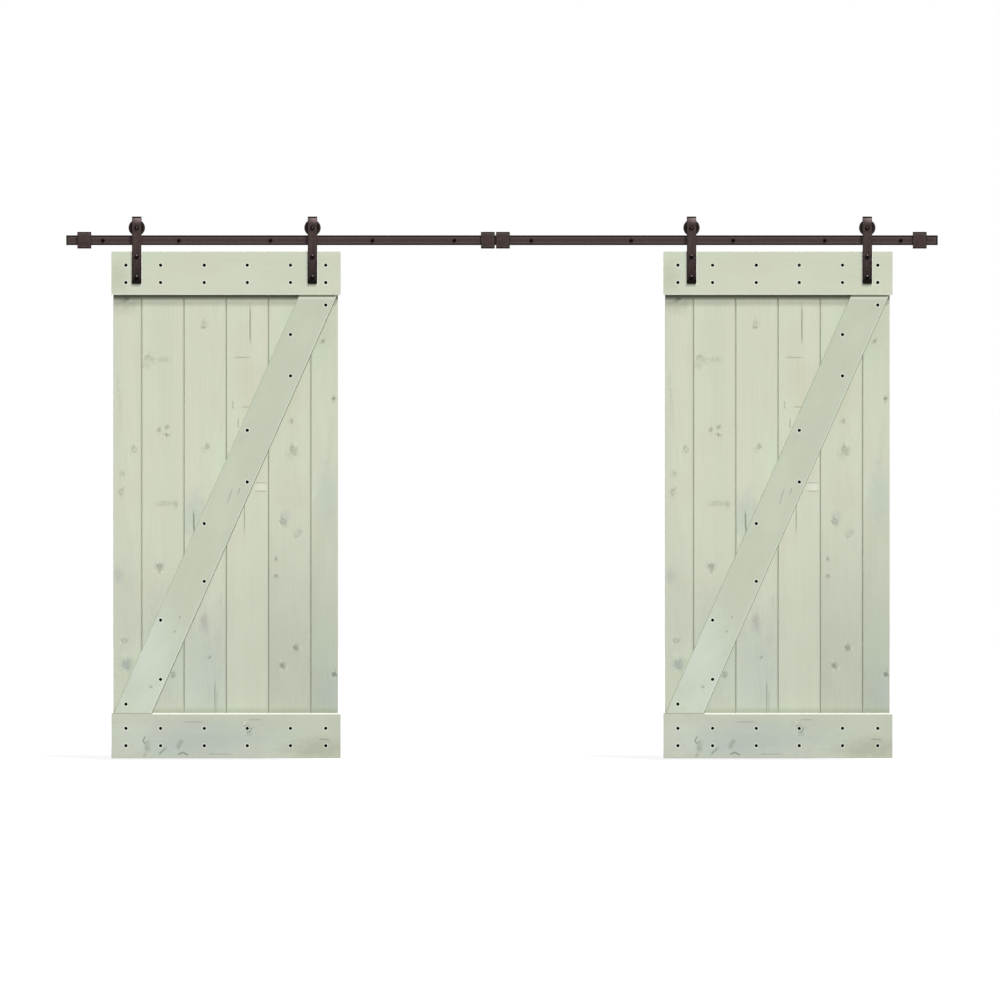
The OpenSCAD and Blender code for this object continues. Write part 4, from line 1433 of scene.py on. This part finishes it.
def wood_thread(start, end):
    """A sharp ridge that winds along +Y."""
    ridge = fresh(
        bpy.ops.mesh.primitive_circle_add, vertices=3, radius=THREAD_WIRE, fill_type="NGON",
        location=(THREAD_ROOT, start, 0), rotation=(0, 0, math.radians(-90)),
    )
    apply_modifier(
        ridge, "SCREW", axis="Y", screw_offset=THREAD_PITCH, iterations=int((end - start) / THREAD_PITCH),
        steps=THREAD_STEPS, render_steps=THREAD_STEPS,
    )
    smooth()
    return ridge


print("heads, washers and threads ready")

# %% [markdown]
# ## Lag screws and their washers
# A lag screw has a domed hexagon head, a smooth shank and a wood thread round a thinner core that ends in
# a point. Each of these is made by itself and then joined, as they only touch. Plain rods would do from
# the front, but the doors are also seen from behind. The screws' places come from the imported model's
# mounts.

# %% Lag screws
LAG_FLATS = 14 * MM
LAG_DOME = 10 * MM
SHANK_RADIUS = 4 * MM
CORE_RADIUS = 2.9 * MM
TIP_RADIUS = 0.2 * MM
THREAD_END = 45 * MM
LAG_HOLE = 4.3 * MM
washers_low, washers_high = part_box("lag_washers")
lags_low, lags_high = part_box("lag_screws")
point_length = lags_high.y - THREAD_END
lag_places = []
for mount in frame["record"]["mounts"]:
    if mount["kind"] == "bolt_pattern":
        middle, half = mount["pos_m"][0], mount["dims"]["spacing_x_mm"] * MM / 2
        lag_places += [(middle - half, 0, 0), (middle + half, 0, 0)]

lag_point = fresh(
    bpy.ops.mesh.primitive_cone_add, vertices=32, radius1=CORE_RADIUS, radius2=TIP_RADIUS,
    depth=point_length, location=(0, THREAD_END + point_length / 2, 0), rotation=(math.radians(-90), 0, 0),
)
lag = joined(
    domed_head(LAG_FLATS, lags_low.y, washers_low.y, LAG_DOME),
    rod(SHANK_RADIUS, washers_low.y, 0, 32),
    rod(CORE_RADIUS, 0, THREAD_END, 32),
    wood_thread(THREAD_WIRE, THREAD_END - THREAD_WIRE),
    lag_point,
)
smooth()
lag_set = set_out(lag, "lag_screw_set", lag_places)
hand_over(lag_set, black_steel, "track", "dark_hardware", "lag_screws")
lag_washer = washer((washers_high.z - washers_low.z) / 2, LAG_HOLE, washers_low.y, washers_high.y)
washer_set = set_out(lag_washer, "lag_washer_set", lag_places)
hand_over(washer_set, plain_bronze, "track", "bronze_steel", "lag_washers")
bpy.data.objects.remove(lag)
bpy.data.objects.remove(lag_washer)
print("lag screws and washers:", len(lag_places))

# %% [markdown]
# ## Hanger bolts, nuts and washers
# The same domed head sits on the bolts that hold a strap to its door and on the axle bolts. Their plain
# shanks end in a chamfer behind the nuts. A nut is a hexagon bar cut by a bevelled disc, which gives its
# corners the curved chamfers that a lathe leaves, and then bored. A bevel on the hexagon itself would
# leave flat ones.

# %% Hanger bolts
BOLT_RADIUS = 5 * MM
BOLT_DOME = 12.25 * MM
BOLT_CHAMFER = 0.8 * MM
NUT_FLATS = 16 * MM
NUT_CHAMFER = 1.4 * MM
NUT_BORE = 5.05 * MM
NUT_EASE = 0.2 * MM


def domed_bolt(front, back):
    """A bolt whose head sits on the strap."""
    shank = rod(BOLT_RADIUS, strap_low.y, back, 40)
    choose(shank, "FACE", lambda face: face.normal.y > FACING)
    bevel_chosen(BOLT_CHAMFER, 1)
    bolt = joined(domed_head(HEAD_FLATS, front, strap_low.y, BOLT_DOME), shank)
    smooth()
    return bolt


def nut(front, back):
    made = hexagon(NUT_FLATS, front, back)
    disc = rod(NUT_FLATS / math.sqrt(3), front, back, 72)
    choose(disc, "FACE", is_end)
    bevel_chosen(NUT_CHAMFER, 1)
    carve(made, disc, "INTERSECT")
    carve(made, rod(NUT_BORE, front - MM, back + MM, 40))
    ease(made, NUT_EASE)
    return made


def strap_washer(front, back):
    washers_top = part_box("left_strap_washers")[1].z
    return washer(washers_top - bolt_rows[0], BOLT_HOLE, front, back)


fittings = {
    "strap_bolt": (domed_bolt, bolt_paint, "bolt_heads"),
    "axle_bolt": (domed_bolt, axle_paint, "bolt_heads"),
    "strap_nut": (nut, black_steel, "dark_hardware"),
    "axle_nut": (nut, black_steel, "dark_hardware"),
    "strap_washer": (strap_washer, black_steel, "dark_hardware"),
}
for kind, (make, finish, slot) in fittings.items():
    low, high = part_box(f"left_{kind}s")
    model = make(low.y, high.y)
    rows = (axle_z,) if kind.startswith("axle") else bolt_rows
    for side in SIDES:
        places = [(mid_x(f"{side}_{end}_strap"), 0, row) for end in ENDS for row in rows]
        fitted = set_out(model, f"{kind}_set_{side}", places)
        hand_over(fitted, finish, f"{side}_door", slot, f"{side}_{kind}s")
    bpy.data.objects.remove(model)
print("fittings for each door:", ", ".join(fittings))
